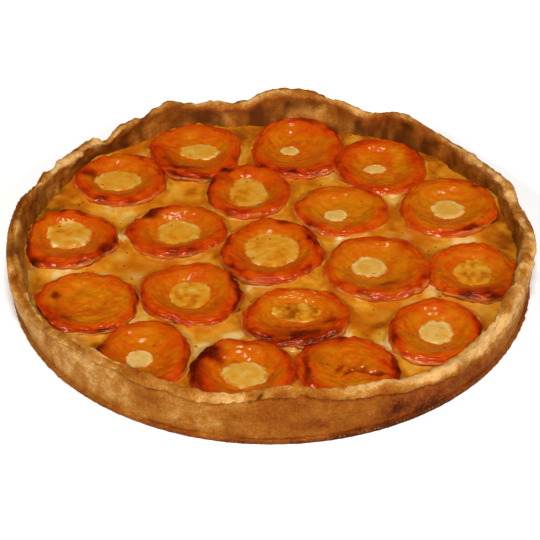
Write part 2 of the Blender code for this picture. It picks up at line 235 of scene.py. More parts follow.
# Scorched spots, red and yellow patches and creases in the fruit: x, y, half length, half width,
# angle, strength, lift.
FRUIT_MARKS = marks_of(Mark, {
    Tint.CHAR: (
        (-45, 71, 8, 2.6, 0, 1, -0.5), (-54, 78, 5, 2, -60, 0.55, -0.3), (-23, 68, 2.6, 2.4, 0, 0.8),
        (-96, 66, 4.6, 3, 0, 0.9, -0.4), (-107, 61, 1.6, 4.4, 0, 0.6),
        (-83, 1, 2.6, 7, -22, 0.7, -0.7), (-123, 5, 1.8, 7, 0, 0.75), (-118, 27, 4.4, 2.2, 20, 0.5),
        (-120, -13, 4, 3.6, 0, 0.7), (-62, 30, 4.6, 3, 25, 0.95, -0.5),
        (-17, -31, 2.4, 9, 14, 0.95, -0.3), (-33, 45, 1.6, 7, 8, 0.75),
        (14, -69, 4, 2.2, -12, 1, -0.9), (8, -61, 9, 1.2, 4, 0.6, -0.8), (13, -73, 21, 6, 2, 0.6),
        (-36, -91, 5, 13, 4, 0.45), (22, -88, 3, 8, 40, 0.35), (54, -38, 13, 4, 14, 0.25),
        (106, -39, 13, 4.5, 8, 0.28), (-27, 60, 13, 3.6, -10, 0.25), (-101, -58, 9, 5, -40, 0.34),
        (-66, -46, 2.4, 11, 14, 0.25), (29, -59, 4, 2.4, 10, 0.7, -0.5),
        (57, -29, 4.6, 1.6, 22, 0.75, -0.6), (102, 17, 9, 1.2, 22, 0.6, -0.5),
        (107, 53, 3.6, 2.2, -20, 0.7), (20, 113, 6.5, 2.2, -18, 0.6), (105, -34, 9, 2, 6, 0.5, -0.6),
        (123, -20, 1.6, 6, 8, 0.75), (-106, -39, 2, 2.2, 0, 1, -0.3),
        (-100, -56, 3.4, 2.6, -40, 0.6, -0.8), (-82, -81, 4, 3, 0, 0.8), (-27, -85, 4.6, 4.4, 0, 1),
        (-35, -96, 3, 8, 0, 0.45), (50, -99, 7, 1.2, -16, 0.85, -0.9),
        (17, -95, 1.5, 11, 6, 0.75, -0.3), (32, -95, 4, 1.3, 65, 0.8, -0.7),
        (37, -97, 4.5, 1.3, 50, 0.8, -0.7), (42, -96, 3.6, 1.2, 30, 0.7, -0.6),
        (59, -70, 1.6, 7, 0, 0.45),
    ),
    Tint.BLUSH: (
        (38, -96, 11, 6, -14, 1), (50, -91, 12, 3, -24, 0.9), (-54, 86, 5, 14, 0, 0.9),
        (-40, 60, 14, 5, -6, 0.9, 0.5), (-92, 74, 20, 4, 0, 0.7), (-82, 46, 16, 3, 14, 0.8, 0.4),
        (-35, 44, 5, 15, 6, 1), (-4, 60, 12, 3.6, -14, 0.8), (22, 10, 4, 13, 10, 0.9),
        (13, 18, 12, 3.4, -20, 0.9), (6, -23, 14, 3.6, -4, 0.7, 0.3), (12, -66, 18, 6, 0, 1, 0.7),
        (48, -37, 14, 5, 10, 0.9, 0.3), (104, -38, 14, 6, 6, 0.9, 0.4),
        (105, 15, 12, 4, 22, 0.9, 0.3), (82, 82, 4, 12, 20, 0.7), (62, 94, 14, 3.4, -14, 0.7),
        (41, 72, 3.6, 10, 0, 0.7), (20, 108, 12, 5, -24, 0.8), (36, 56, 16, 3.4, -6, 0.9),
        (-104, -54, 8, 10, -30, 0.9), (-86, -68, 14, 3.4, 6, 0.8), (-66, -42, 3, 12, 10, 0.7),
        (-33, -94, 9, 14, 0, 1), (10, -96, 4, 12, 0, 0.5), (62, -98, 6, 10, 30, 0.7),
        (99, -68, 4, 13, -8, 0.6), (58, -72, 4, 12, 0, 0.6), (-96, -10, 16, 4, -6, 0.8, 0.3),
        (-80, 8, 4, 12, -14, 0.6), (58, 8, 14, 3.6, -14, 0.7),
    ),
    Tint.GOLD: (
        (44, 37, 9, 7.5, -20, 1), (27, 40, 4, 7, 0, 0.8), (34, -19, 3, 6.6, 0, 0.8),
        (65, -12, 3, 7.5, -16, 1, 0.5), (44, -33, 9, 2.4, 8, 0.7), (57, -5, 2.4, 7, -20, 0.7),
        (78, 28, 3.6, 8.5, -10, 0.8), (105, 30, 2.6, 7.5, 8, 0.9, 0.3), (88, 17, 8, 3.4, -14, 1),
        (86, 45, 5, 4, 40, 0.8), (68, 77, 2.6, 12, 10, 1, 0.3), (55, 60, 10, 3.6, 14, 0.9),
        (115, -10, 3.2, 6.5, 0, 0.9), (-89, -37, 9, 3.2, 8, 1, 0.5), (-91, -56, 9, 2.4, 6, 1, 0.6),
        (-74, -37, 2.8, 8, 10, 1, 0.5), (32, -93, 10, 6, -10, 0.8), (45, -107, 12, 3, 0, 0.9, 0.3),
        (7, 81, 5, 4.4, 0, 0.7), (7, 102, 9, 3, 0, 0.6), (72, -81, 7, 3.4, 8, 0.8),
        (71, -58, 5, 2.8, 0, 0.7), (11, -41, 9, 5, 0, 0.7), (-106, -11, 5, 3.6, 0, 0.6),
        (-58, -12, 4, 5, 0, 0.6), (-60, 52, 5, 6, 0, 0.6), (-61, -67, 6, 4, -10, 0.7),
    ),
})

# Pale and scorched patches on the custard between the fruit, and juice that ran out of it.
CUSTARD_MARKS = marks_of(Mark, {
    Tint.PALE: (
        (-105, -18, 12, 5, 0, 1, 0.2), (-17, -66, 8, 3.2, 8, 0.9, 0.2), (33, 6, 5, 5.5, -30, 0.9),
        (19, -26, 7, 4.5, -10, 0.9, 0.1), (-64, -51, 5, 6, -20, 0.8), (-10, -28, 3, 4.5, -30, 0.9),
        (13, -78, 4, 6, 20, 0.8), (-34, -77, 4, 8, -30, 0.8, 0.1), (38, -67, 7, 3, -12, 0.8),
        (53, -76, 4, 4, 0, 0.8), (78, -33, 4, 5, -30, 0.8), (98, 10, 8, 3, 12, 0.9, 0.2),
        (72, -42, 4, 2.6, 0, 0.8), (-47, 48, 13, 3, 0, 0.5), (64, 47, 4, 4.5, 0, 0.7),
        (-13, 90, 4, 4.5, 0, 0.8), (-74, 12, 2.6, 6, 0, 0.7), (65, -90, 4, 4.5, 0, 0.8),
        (-70, 88, 6, 3, 30, 0.5), (45, 14, 4, 3, 0, 0.6), (-82, 30, 5, 3, 20, 0.6),
        (-20, -60, 5, 2, 10, 0.5), (2, 49, 3, 5, -30, 0.8, 0.2),
    ),
    Tint.JUICE: (
        (-5, -40, 4, 6.5, 0, 0.6), (35, -49, 7, 7, 0, 0.8), (54, -50, 7, 6.5, 0, 0.7),
        (-55, -14, 9, 6.6, 0, 0.8), (-67, -9, 8, 8, 0, 0.6), (31, 92, 5, 7, 0, 0.5),
        (68, 18, 8, 5, 0, 0.8), (20, 37, 5, 6, 0, 0.8), (-32, 7, 5, 9, 0, 0.8),
        (-76, 95, 9, 6, 30, 0.9), (-43, 42, 10, 5, 0, 0.7), (76, 11, 7, 7, 0, 0.9),
        (-27, -62, 8, 5, 0, 0.4), (113, 14, 5, 8, 0, 0.4), (-121, 4, 4, 14, 0, 0.9),
    ),
    Tint.CHAR: (
        (-23, 46, 3, 5, 0, 0.25),
    ),
})

# Noise that makes the marks' edges ragged: reach (mm), size (mm), seed to add. One seed per axis.
RAGGED = ((1.3, 4.0, 0), (0.5, 1.4, 5))
RAGGED_SEEDS = (31, 57)
COLOUR_FALL = 0.7
LIFT_FALL = 1.1


def ragged(x: Array, y: Array) -> list[Array]:
    """Plan places in millimetres, shaken by a little noise (from places in metres)."""
    plan = places(x / MM, y / MM)
    shaken = []
    for axis, first_seed in enumerate(RAGGED_SEEDS):
        value = plan[..., axis]
        for reach, size, seed in RAGGED:
            value = value + reach * noise(plan, size, first_seed + seed)
        shaken.append(value)
    return shaken


def coloured(distance: Array) -> Array:
    """How much of a mark's colour shows: nearly all to its edge, then soon none."""
    return np.exp(-COLOUR_FALL * distance**3)


def raised(distance: Array) -> Array:
    """How much of a mark's lift is left at a distance from its middle."""
    return np.exp(-LIFT_FALL * distance**2)


def tinted(marks: tuple[Mark, ...], tint: Tint, x: Array, y: Array) -> Array:
    """How much of a tint lies at each place, from 0 to 1."""
    shaken_x, shaken_y = ragged(x, y)
    bare = np.ones_like(shaken_x)
    for mark in marks:
        if mark.tint is tint:
            bare *= 1 - mark.strength * coloured(mark.distance(shaken_x, shaken_y))
    return 1 - bare


def lifted(marks: tuple[Mark, ...], x: Array, y: Array) -> Array:
    """How far the marks raise the surface at each place (metres)."""
    shaken_x, shaken_y = ragged(x, y)
    total = np.zeros_like(shaken_x)
    for mark in marks:
        if mark.lift:
            total += mark.lift * raised(mark.distance(shaken_x, shaken_y))
    return total * MM


# ---------------------------------------------------------------------------------------------
# Finishes


SRGB_KNEE = 0.04045


def linear(code: str) -> tuple[float, float, float, float]:
    """An sRGB colour such as "#C8640A" as linear red, green, blue and alpha."""
    channels = [int(code[i:i + 2], 16) / 255 for i in (1, 3, 5)]
    red, green, blue = (
        c / 12.92 if c <= SRGB_KNEE else ((c + 0.055) / 1.055) ** 2.4 for c in channels
    )
    return red, green, blue, 1.0


def add_node(
    tree: Tree,
    kind: str,
    inputs: dict[Any, Any] | None = None,
    stops: tuple[tuple[float, str], ...] = (),
    **settings: Any,
) -> bpy.types.Node:
    """Adds a node to a tree.

    Args:
        tree: The node tree.
        kind: The node's type.
        inputs: What each input, by name or number, is set to: a value, or the socket that feeds it.
        stops: For a colour ramp, its (position, sRGB colour) stops.
        settings: The node's own properties.

    Returns:
        The node.
    """
    node = tree.nodes.new(kind)
    for key, value in settings.items():
        setattr(node, key, value)
    for key, value in (inputs or {}).items():
        if isinstance(value, Socket):
            tree.links.new(value, node.inputs[key])
        else:
            node.inputs[key].default_value = value
    for i, (position, colour) in enumerate(stops):
        elements = node.color_ramp.elements
        stop = elements[i] if i < 2 else elements.new(position)
        stop.position = position
        stop.color = linear(colour)
    return node


@dataclass
class Painter:
    """Draws the nodes of one material. Every pattern is fixed to the piece's own coordinates."""

    tree: Tree
    coords: Socket

    octave_share = 0.6

    def number(self, name: str) -> Socket:
        """Reads a number kept on the mesh's points."""
        return add_node(self.tree, "ShaderNodeAttribute", attribute_name=name).outputs["Fac"]

    def grain(self, size: float, detail: float = 2.0) -> Socket:
        """A noise whose bumps are about this many millimetres across."""
        inputs = {
            "Vector": self.coords,
            "Scale": 1 / (size * MM),
            "Detail": detail,
            "Roughness": self.octave_share,
        }
        return add_node(self.tree, "ShaderNodeTexNoise", inputs).outputs["Fac"]

    def shaken(self, value: Socket, amount: float, size: float, detail: float) -> Socket:
        """The value, moved up and down by an amount of a noise that averages a half."""
        moved = {0: self.grain(size, detail), 1: amount, 2: -0.5 * amount}
        centred = add_node(self.tree, "ShaderNodeMath", moved, operation="MULTIPLY_ADD").outputs[0]
        return add_node(self.tree, "ShaderNodeMath", {0: value, 1: centred}, operation="ADD").outputs[0]

    def ramp(self, value: Socket, stops: Stops) -> Socket:
        """The colour that the value has on a ramp."""
        return add_node(self.tree, "ShaderNodeValToRGB", {0: value}, stops=stops).outputs[0]

    def covered(self, under: Socket, factor: Socket, code: str) -> Socket:
        """The colour under, with a plain colour laid on it by a factor."""
        inputs = {0: factor, 6: under, 7: linear(code)}
        return add_node(self.tree, "ShaderNodeMix", inputs, data_type="RGBA").outputs[2]


@dataclass(frozen=True)
class Finish:
    """A surface: its shader's constants, its relief in millimetres, and how its colour is drawn.

    reads names the number, kept on the mesh's points, that picks a colour on the ramp once the
    shakes (amount, size in mm, detail) have moved it. The stains lie on that colour: each is the
    name of a number, a colour, and the shake of its edge, if any.
    """

    name: str
    slot: str
    roughness: float = 0.6
    roughness_spread: float = 0.1
    ior: float = 1.45
    specular: float = 0.5
    gleam: str = "#FFFFFF"
    coat: float = 0.0
    coat_roughness: float = 0.1
    subsurface: float = 0.0
    scatter: tuple[float, float, float] = (1.0, 0.5, 0.2)
    scatter_scale: float = 1.0
    relief: float = 0.05
    relief_size: float = 1.0
    reads: str = "bake"
    shakes: Rows = ()
    ramp: Stops = ()
    stains: Stains = ()

    relief_strength = 0.6
    noise_range = (0.3, 0.7)

    def colour(self, paint: Painter) -> Socket:
        """Draws the colour."""
        value = paint.number(self.reads)
        for shake in self.shakes:
            value = paint.shaken(value, *shake)
        colour = paint.ramp(value, self.ramp)
        for number, code, shake in self.stains:
            factor = paint.number(number)
            if shake:
                factor = paint.shaken(factor, *shake)
            colour = paint.covered(colour, factor, code)
        return colour

    def make(self) -> Material:
        """Builds the material."""
        material = bpy.data.materials.new(self.name)
        material.use_nodes = True
        tree = material.node_tree
        tree.nodes.clear()
        paint = Painter(tree, add_node(tree, "ShaderNodeTexCoord").outputs["Object"])
        spread = {
            "Value": paint.grain(4 * self.relief_size),
            "From Min": self.noise_range[0],
            "From Max": self.noise_range[1],
            "To Min": self.roughness - self.roughness_spread,
            "To Max": self.roughness + self.roughness_spread,
        }
        relief = {
            "Strength": self.relief_strength,
            "Distance": self.relief * MM,
            "Height": paint.grain(self.relief_size, 3.0),
        }
        surface = {
            "Base Color": self.colour(paint),
            "Roughness": add_node(tree, "ShaderNodeMapRange", spread).outputs[0],
            "IOR": self.ior,
            "Specular IOR Level": self.specular,
            "Specular Tint": linear(self.gleam),
            "Coat Weight": self.coat,
            "Coat Roughness": self.coat_roughness,
            "Subsurface Weight": self.subsurface,
            "Subsurface Radius": self.scatter,
            "Subsurface Scale": self.scatter_scale * MM,
            "Normal": add_node(tree, "ShaderNodeBump", relief).outputs["Normal"],
        }
        shader = add_node(tree, "ShaderNodeBsdfPrincipled", surface)
        add_node(tree, "ShaderNodeOutputMaterial", {"Surface": shader.outputs[0]})
        return material


@dataclass(frozen=True)
class RoastApricot(Finish):
    """Apricot roasted in its own syrup: yellow flesh to a red lip, wet, so its lights are small.

    The least ripe flesh stays yellow and the ripest is dark skin; scorched spots are near black.
    """

    name: str = "roasted_apricot_in_syrup"
    slot: str = "roast_apricot"
    roughness: float = 0.42
    ior: float = 1.4
    specular: float = 0.22
    gleam: str = "#FFA850"
    coat: float = 0.28
    coat_roughness: float = 0.05
    subsurface: float = 0.10
    scatter: tuple[float, float, float] = (1.0, 0.45, 0.08)
    scatter_scale: float = 1.5
    relief: float = 0.13
    relief_size: float = 0.9
    reads: str = "ripe"
    shakes: Rows = ((0.20, 5.0, 2.0), (0.16, 1.3, 3.0))
    ramp: Stops = (
        (0.0, "#AE6005"), (0.20, "#AE5404"), (0.40, "#AC4703"),
        (0.60, "#AE3A02"), (0.80, "#9A2702"), (1.0, "#4E0A01"),
    )
    stains: Stains = (
        # The skin colour: partly the skin's own tan, partly painted highlight in streaks along the band
        # under the lip.
        ("skin", "#C2702A", ()),
        ("char", "#3E0A02", (0.22, 1.6, 3.0)),
    )


@dataclass(frozen=True)
class BakedCustard(Finish):
    """Egg custard set in the oven: a dull gold skin, pale in patches, brown where thin.

    Cream turns to deep gold by how far it baked, and the fruit's juice stains it orange.
    """

    name: str = "oven_set_custard"
    slot: str = "baked_custard"
    roughness: float = 0.5
    roughness_spread: float = 0.12
    ior: float = 1.4
    specular: float = 0.20
    gleam: str = "#FFDC9A"
    coat: float = 0.28
    coat_roughness: float = 0.14
    subsurface: float = 0.15
    scatter: tuple[float, float, float] = (1.0, 0.55, 0.15)
    scatter_scale: float = 1.8
    relief: float = 0.09
    relief_size: float = 1.3
    shakes: Rows = ((0.25, 6.0, 2.0), (0.22, 1.2, 3.0))
    ramp: Stops = (
        (0.0, "#CAA86A"), (0.25, "#BA8930"), (0.50, "#BC7713"), (0.75, "#A45A08"), (1.0, "#743804"),
    )
    stains: Stains = (
        ("juice", "#A44F04", ()),
        ("char", "#4A2408", (0.2, 1.2, 3.0)),
    )


@dataclass(frozen=True)
class Shortcrust(Finish):
    """Butter shortcrust baked in a tin: matt and floury outside, brown where fat fried the edge.

    It is sandy to fried brown by how far it baked and by painted shade and painted light on parts of the
    outside, and dark where the filling soaked in.
    """

    name: str = "butter_shortcrust"
    slot: str = "shortcrust"
    roughness: float = 0.68
    roughness_spread: float = 0.12
    specular: float = 0.05
    subsurface: float = 0.05
    scatter: tuple[float, float, float] = (1.0, 0.6, 0.3)
    relief: float = 0.34
    relief_size: float = 1.1
    shakes: Rows = ((0.15, 9.0, 2.0), (0.38, 2.0, 3.0), (0.62, 0.8, 2.0))
    ramp: Stops = (
        (0.0, "#C4985C"), (0.28, "#9E6727"), (0.50, "#8A4D10"),
        (0.72, "#783808"), (0.88, "#622805"), (1.0, "#3E1804"),
    )
    stains: Stains = (
        ("soak", "#4E2202", ()),
        ("caramel", "#6A2405", ()),
        ("char", "#2E1006", ()),
    )


@dataclass(frozen=True)
class Plain(Finish):
    """Two near shades in a fine mottle, for grains too small to show more."""

    shade: str = "#2A1508"
    light: str = "#4A2A12"

    def colour(self, paint: Painter) -> Socket:
        """Draws the mottle."""
        return paint.ramp(paint.grain(self.relief_size, 3.0), ((0.35, self.shade), (0.65, self.light)))


# ---------------------------------------------------------------------------------------------
# Meshes


def new_thing(name: str, data: Any) -> Thing:
    """A new object in the scene."""
    thing = bpy.data.objects.new(name, data)
    bpy.context.scene.collection.objects.link(thing)
    return thing


def points_of(thing: Thing) -> Array:
    """The points of an object's mesh."""
    flat = np.zeros(len(thing.data.vertices) * 3)
    thing.data.vertices.foreach_get("co", flat)
    return flat.reshape(-1, 3)


def ring_faces(rings: int, sides: int) -> list[tuple[int, ...]]:
    """Faces of a closed body of rings, whose two pole points come after the rings' points."""
    faces: list[tuple[int, ...]] = []
    for ring in range(rings - 1):
        low, high = ring * sides, (ring + 1) * sides
        for i in range(sides):
            j = (i + 1) % sides
            faces.append((low + i, low + j, high + j, high + i))
    first_pole, last_pole = rings * sides, rings * sides + 1
    last = (rings - 1) * sides
    for i in range(sides):
        j = (i + 1) % sides
        faces.append((j, i, first_pole))
        faces.append((last + i, last + j, last_pole))
    return faces


@dataclass
class Body:
    """A closed body of rings: its points, and the numbers that its finish reads there."""

    name: str
    rings: Array
    poles: tuple[Array, Array]
    attributes: dict[str, Array] = field(default_factory=dict)

    def points(self) -> Array:
        """Every ring's points, then the two poles."""
        return np.concatenate([self.rings.reshape(-1, 3), np.array(self.poles)])

    def normals(self) -> Array:
        """The outward direction at each ring point."""
        around = np.roll(self.rings, -1, axis=1) - np.roll(self.rings, 1, axis=1)
        along = np.gradient(self.rings, axis=0)
        cross = np.cross(around, along)
        return cross / np.maximum(np.linalg.norm(cross, axis=-1, keepdims=True), 1e-12)

    def swell(self, amount: Array) -> None:
        """Moves each ring point along its normal."""
        self.rings = self.rings + self.normals() * amount[..., None]

    def build(self, finish: Material) -> Thing:
        """Makes the object, with a point attribute for each number."""
        rings, sides = self.rings.shape[:2]
        mesh = bpy.data.meshes.new(self.name)
        mesh.from_pydata(self.points().tolist(), [], ring_faces(rings, sides))
        for key, unclipped in self.attributes.items():
            values = np.clip(unclipped, 0, 1)
            ends = (values[0].mean(), values[-1].mean())
            flat = np.concatenate([values.ravel(), ends]).astype(np.float32)
            mesh.attributes.new(key, "FLOAT", "POINT").data.foreach_set("value", flat)
        mesh.materials.append(finish)
        mesh.shade_smooth()
        mesh.update()
        return new_thing(self.name, mesh)


def tree_of(things: list[Thing]) -> BVHTree:
    """A search tree of the things' faces, for finding what lies under a point."""
    points: list[Vector] = []
    faces: list[list[int]] = []
    for thing in things:
        start = len(points)
        points.extend(v.co for v in thing.data.vertices)
        faces.extend([start + i for i in p.vertices] for p in thing.data.polygons)
    return BVHTree.FromPolygons(points, faces)


# A height above every piece, from where the search looks down.
ABOVE_ALL = 60 * MM


def heights_under(tree: BVHTree, x: Array, y: Array) -> Array:
    """Height of the highest face under each place of the plan, or 0 where there is none."""
    found = np.zeros(x.size)
    down = Vector((0, 0, -1))
    for i, (px, py) in enumerate(zip(x.ravel(), y.ravel())):
        hit = tree.ray_cast(Vector((px, py, ABOVE_ALL)), down)[0]
        found[i] = hit.z if hit else 0.0
    return found.reshape(x.shape)


# ---------------------------------------------------------------------------------------------
# The pastry shell


@dataclass(frozen=True)
class RimMark:
    """A patch or crease on the shell: where round it (degrees), at what height, and how far."""

    tint: Tint
    angle: float
    height: float
    across: float
    up: float
    strength: float = 1.0
    lift: float = 0.0
    lean: float = 0.0

    def distance(self, angle: Array, height: Array, radius: float) -> Array:
        """How far places lie from the middle, where 1 is the patch's own edge."""
        away = (angle - self.angle + 180) % 360 - 180
        rise = height / MM - self.height
        along = np.radians(away) * radius / MM - self.lean * rise
        return np.hypot(along / self.across, rise / self.up)


@dataclass
class Shell:
    """The shortcrust shell: one turned body whose section changes round the rim."""

    foot_radius: float = 131.0 * MM
    foot_height: float = 2.2 * MM
    groove_depth: float = 1.3 * MM
    wall_radius: float = 130.3 * MM
    crest_mean: float = 126.8 * MM
    crest_share: float = 0.7
    rim_mean: float = 27.2 * MM
    rim_half_thickness: float = 2.5 * MM
    shoulder_drop: float = 4.2 * MM
    floor: float = 4.5 * MM
    level: float = 13.5 * MM
    edge_radius: float = 122.6 * MM
    foot_inset: float = 7.0 * MM
    highest: float = 31.9 * MM
    widest: float = 132.6 * MM
    sides: int = 980

    # Where the rim slumped (direction, half width), and how far it sank and leant out there.
    slump_place: tuple[float, float] = (-42, 34)
    slump_drop: float = 1.6 * MM
    slump_lean: float = 0.9 * MM

    # Where the inner wall runs out in a slope at the custard's level, and how far.
    fillet: tuple[float, float] = (84, 62)
    fillet_reach: float = 8.0 * MM

    # How many samples each span of the section gets, from the underside to the floor inside.
    steps = (2, 2, 2, 2, 3, 3, 8, 9, 4, 4, 4, 3, 8, 9, 3, 2)

    # The foot below its ledge: how far out from the foot's radius, and how high (mm).
    foot_profile = ((-6.0, 0.0), (-1.6, 0.0), (-0.5, 0.5), (-0.4, 1.3))

    # The crease under the lip: where in the section, how far it sways, its width and depth (mm).
    crease_course = 8.35
    crease_sway = 0.30
    crease_width = 0.22
    crease_depth = 0.70

    # Reliefs of the skin, in layers.
    dents: Rows = ((0.55, 22, 3), (0.35, 8, 4))
    flour: Rows = ((0.42, 3, 5, 3),)
    knobs: Rows = ((1.0, 9, 8, 2), (0.18, 2.4, 14, 2))
    foot_crumbs: Rows = ((0.45, 1.8, 10, 2),)

    # Rises and dips of the rim: where, half width (degrees), height (mm).
    waves: Rows = (
        (170, 14, 2.4), (134, 5, -4.6), (116, 8, 3.8), (98, 7, -3.3), (84, 15, 4.6), (66, 7, -3.2),
        (54, 12, 2.6), (22, 10, 2.2), (11, 6, -3.6), (-44, 34, -8.2), (-87, 14, 4.8),
        (-104, 10, -1.5), (-127, 9, 1.3), (-156, 19, -6.0),
    )

    # Where the rim is broader on its inner side: where, half width (degrees), breadth (mm).
    broad: Rows = ((-42, 34, 2.6), (10, 34, 1.9), (-135, 24, 0.8), (146, 26, 1.7))

    # Where the wall leans out over its foot: where, half width (degrees), reach (mm).
    bulges: Rows = ((4, 34, 3.4), (-176, 46, 3.4))

    # Creases, splits, burnt, brown and pale places: where, height, half width along the rim, half
    # height, strength, lift, lean.
    marks: tuple[RimMark, ...] = marks_of(RimMark, {
        Tint.CHAR: (
            (175, 28, 4, 1.6, 0.65), (168, 29, 5, 1.2, 0.4), (-174, 26, 5, 2.4, 0.7),
            (112, 28, 7, 1.2, 0.6), (-92.4, 27.5, 0.9, 2.2, 0.9, -2.4, 0.5),
            (-94.4, 23.5, 0.7, 1.6, 0.7, -1.3, 0.9), (12.5, 22, 0.8, 4, 0.5, -1.6, 0.15),
            (-109, 9, 0.9, 0.8, 0.7, -0.4), (-80, 13, 0.8, 0.8, 0.6, -0.3),
            (-74, 23, 0.8, 0.8, 0.7, -0.4), (-15, 20, 1, 1, 0.7, -0.3), (121, 25, 5, 2.4, 0.35),
        ),
        Tint.BLUSH: (
            # The dark patch in the dented seam notch at -146 degrees is painted shade. The brown patches
            # low on the right and front-right wall (-52, -18 and -63 degrees) are partly real browning
            # and partly painted shade on the side turned from the key lamp.
            (-146, 17, 6, 4, 0.9, -0.6), (8, 16, 9, 4.5, 0.6), (-52, 8, 24, 6, 0.9),
            (-18, 7, 14, 5, 0.2), (-63, 10, 9, 3, 0.6), (131, 20, 9, 4, 0.9),
        ),
        Tint.PALE: (
            # The pale patches on the slumped right shoulder (-33, -52 and -12 degrees) and low on the
            # left wall (-160) are partly paler crust and partly painted light on faces turned to the
            # lamps.
            (-33, 17, 26, 4.6, 1), (-52, 20, 16, 3.4, 0.9), (-12, 21, 22, 4.5, 0.9),
            (-70, 26, 12, 3.4, 0.5), (-98, 25, 8, 3, 0.4), (150, 27, 9, 3.4, 0.7),
            (136, 26, 10, 4, 0.8), (24, 26, 40, 4, 0.55), (-160, 14, 24, 6, 0.2),
            (-135, 21, 10, 3, 0.35),
        ),
    })

    def rim_height(self, angle: Array) -> Array:
        """Height of the crest in a direction (degrees)."""
        return self.rim_mean + humps(angle, self.waves)

    def slump(self, angle: Array) -> Array:
        """How far the rim slumped in a direction, from 0 to 1."""
        return hump(angle, *self.slump_place)

    def bulge(self, angle: Array) -> Array:
        """How far the wall leans out over its foot in a direction."""
        return humps(angle, self.bulges)

    def crest_radius(self, angle: Array) -> Array:
        """Distance of the crest from the middle of the tart."""
        ripple = 0.5 * MM * np.sin(np.radians(7 * angle + 20))
        lean = self.crest_share * self.bulge(angle) + self.slump_lean * self.slump(angle)
        return self.crest_mean + ripple + lean

    def custard_edge(self, angle: Array) -> Array:
        """Radius of the inner face at the custard's level."""
        return self.edge_radius - self.fillet_reach * hump(angle, *self.fillet)

    def inner_profile(self, angle: Array) -> list[tuple[Array, Array]]:
        """(radius, height) down the inner face, from under the crest to the floor."""
        edge = self.custard_edge(angle)
        top = self.rim_height(angle)
        breadth = self.rim_half_thickness + humps(angle, self.broad)
        inner_top = self.crest_radius(angle) - breadth
        flat = np.zeros_like(edge)
        return [
            (inner_top, top - 1.3 * MM),
            (0.35 * edge + 0.65 * inner_top, 0.45 * self.level + 0.55 * top),
            (edge, flat + self.level),
            (edge - 0.3 * self.foot_inset, flat + 0.6 * self.level),
            (edge - self.foot_inset, flat + self.floor),
        ]

    def inner_radius(self, angle: Array, height: Array) -> Array:
        """Radius of the inner face at a height."""
        profile = self.inner_profile(angle)
        radius = profile[-1][0]
        for (upper_radius, upper), (lower_radius, lower) in reversed(list(zip(profile, profile[1:]))):
            share = np.clip((height - lower) / (upper - lower), 0, 1)
            here = lower_radius + share * (upper_radius - lower_radius)
            radius = np.where(height >= lower, here, radius)
        return radius

    def section(self, angle: Array) -> tuple[list[tuple[Array, Array]], int]:
        """The control points round the section, from the underside to the floor inside.

        Args:
            angle: The directions, in degrees.

        Returns:
            (radius, height) control points, and which of them is the crest.
        """
        top = self.rim_height(angle)
        crest = self.crest_radius(angle)
        shoulder = top - self.shoulder_drop - self.slump_drop * self.slump(angle)
        lean = self.bulge(angle)
        edge = self.wall_radius - 0.5 * MM + lean
        flat = np.zeros_like(top)
        foot = flat + self.foot_radius
        ledge = flat + self.foot_height
        outside = [(foot + out * MM, flat + up * MM) for out, up in self.foot_profile]
        outside += [
            (foot - 0.9 * MM, ledge),
            (foot - self.groove_depth - 0.5 * MM, ledge + 0.6 * MM),
            (self.wall_radius - 0.5 * MM + 0.1 * lean, ledge + 2.0 * MM),
            (self.wall_radius - 0.2 * MM + 0.6 * lean, 0.60 * shoulder),
            (edge - 0.2 * MM, shoulder - 1.4 * MM),
            (edge + 0.1 * MM, shoulder + 0.2 * MM),
            (0.55 * edge + 0.45 * crest, 0.35 * shoulder + 0.65 * top),
        ]
        crest_ring = [(crest - 0.3 * self.rim_half_thickness, top)]
        return outside + crest_ring + self.inner_profile(angle), len(outside)

    def make(self, finish: Material) -> Thing:
        """Builds the shell, with its relief, creases and the numbers for its finish."""
        angle = np.linspace(-180, 180, self.sides, endpoint=False)
        controls, crest = self.section(angle)
        radius = spline([r for r, _ in controls], self.steps)
        height = spline([h + 0.0 * angle for _, h in controls], self.steps)
        course = spline([float(i) for i in range(len(controls))], self.steps)[:, None] + 0.0 * angle
        rings = around(radius, np.radians(angle), np.maximum(height, 0))
        middle = np.zeros(3)
        body = Body("pastry_shell", rings, (middle, middle + (0, 0, self.floor)))
        self.add_relief(body, angle, course, crest)
        self.add_numbers(body, angle, course, crest)
        return body.build(finish)

    def off_crease(self, rings: Array, course: Array) -> Array:
        """How far points lie from the crease that runs unevenly under the lip."""
        return course - self.crease_course - self.crease_sway * noise(rings, 12 * MM, 9)

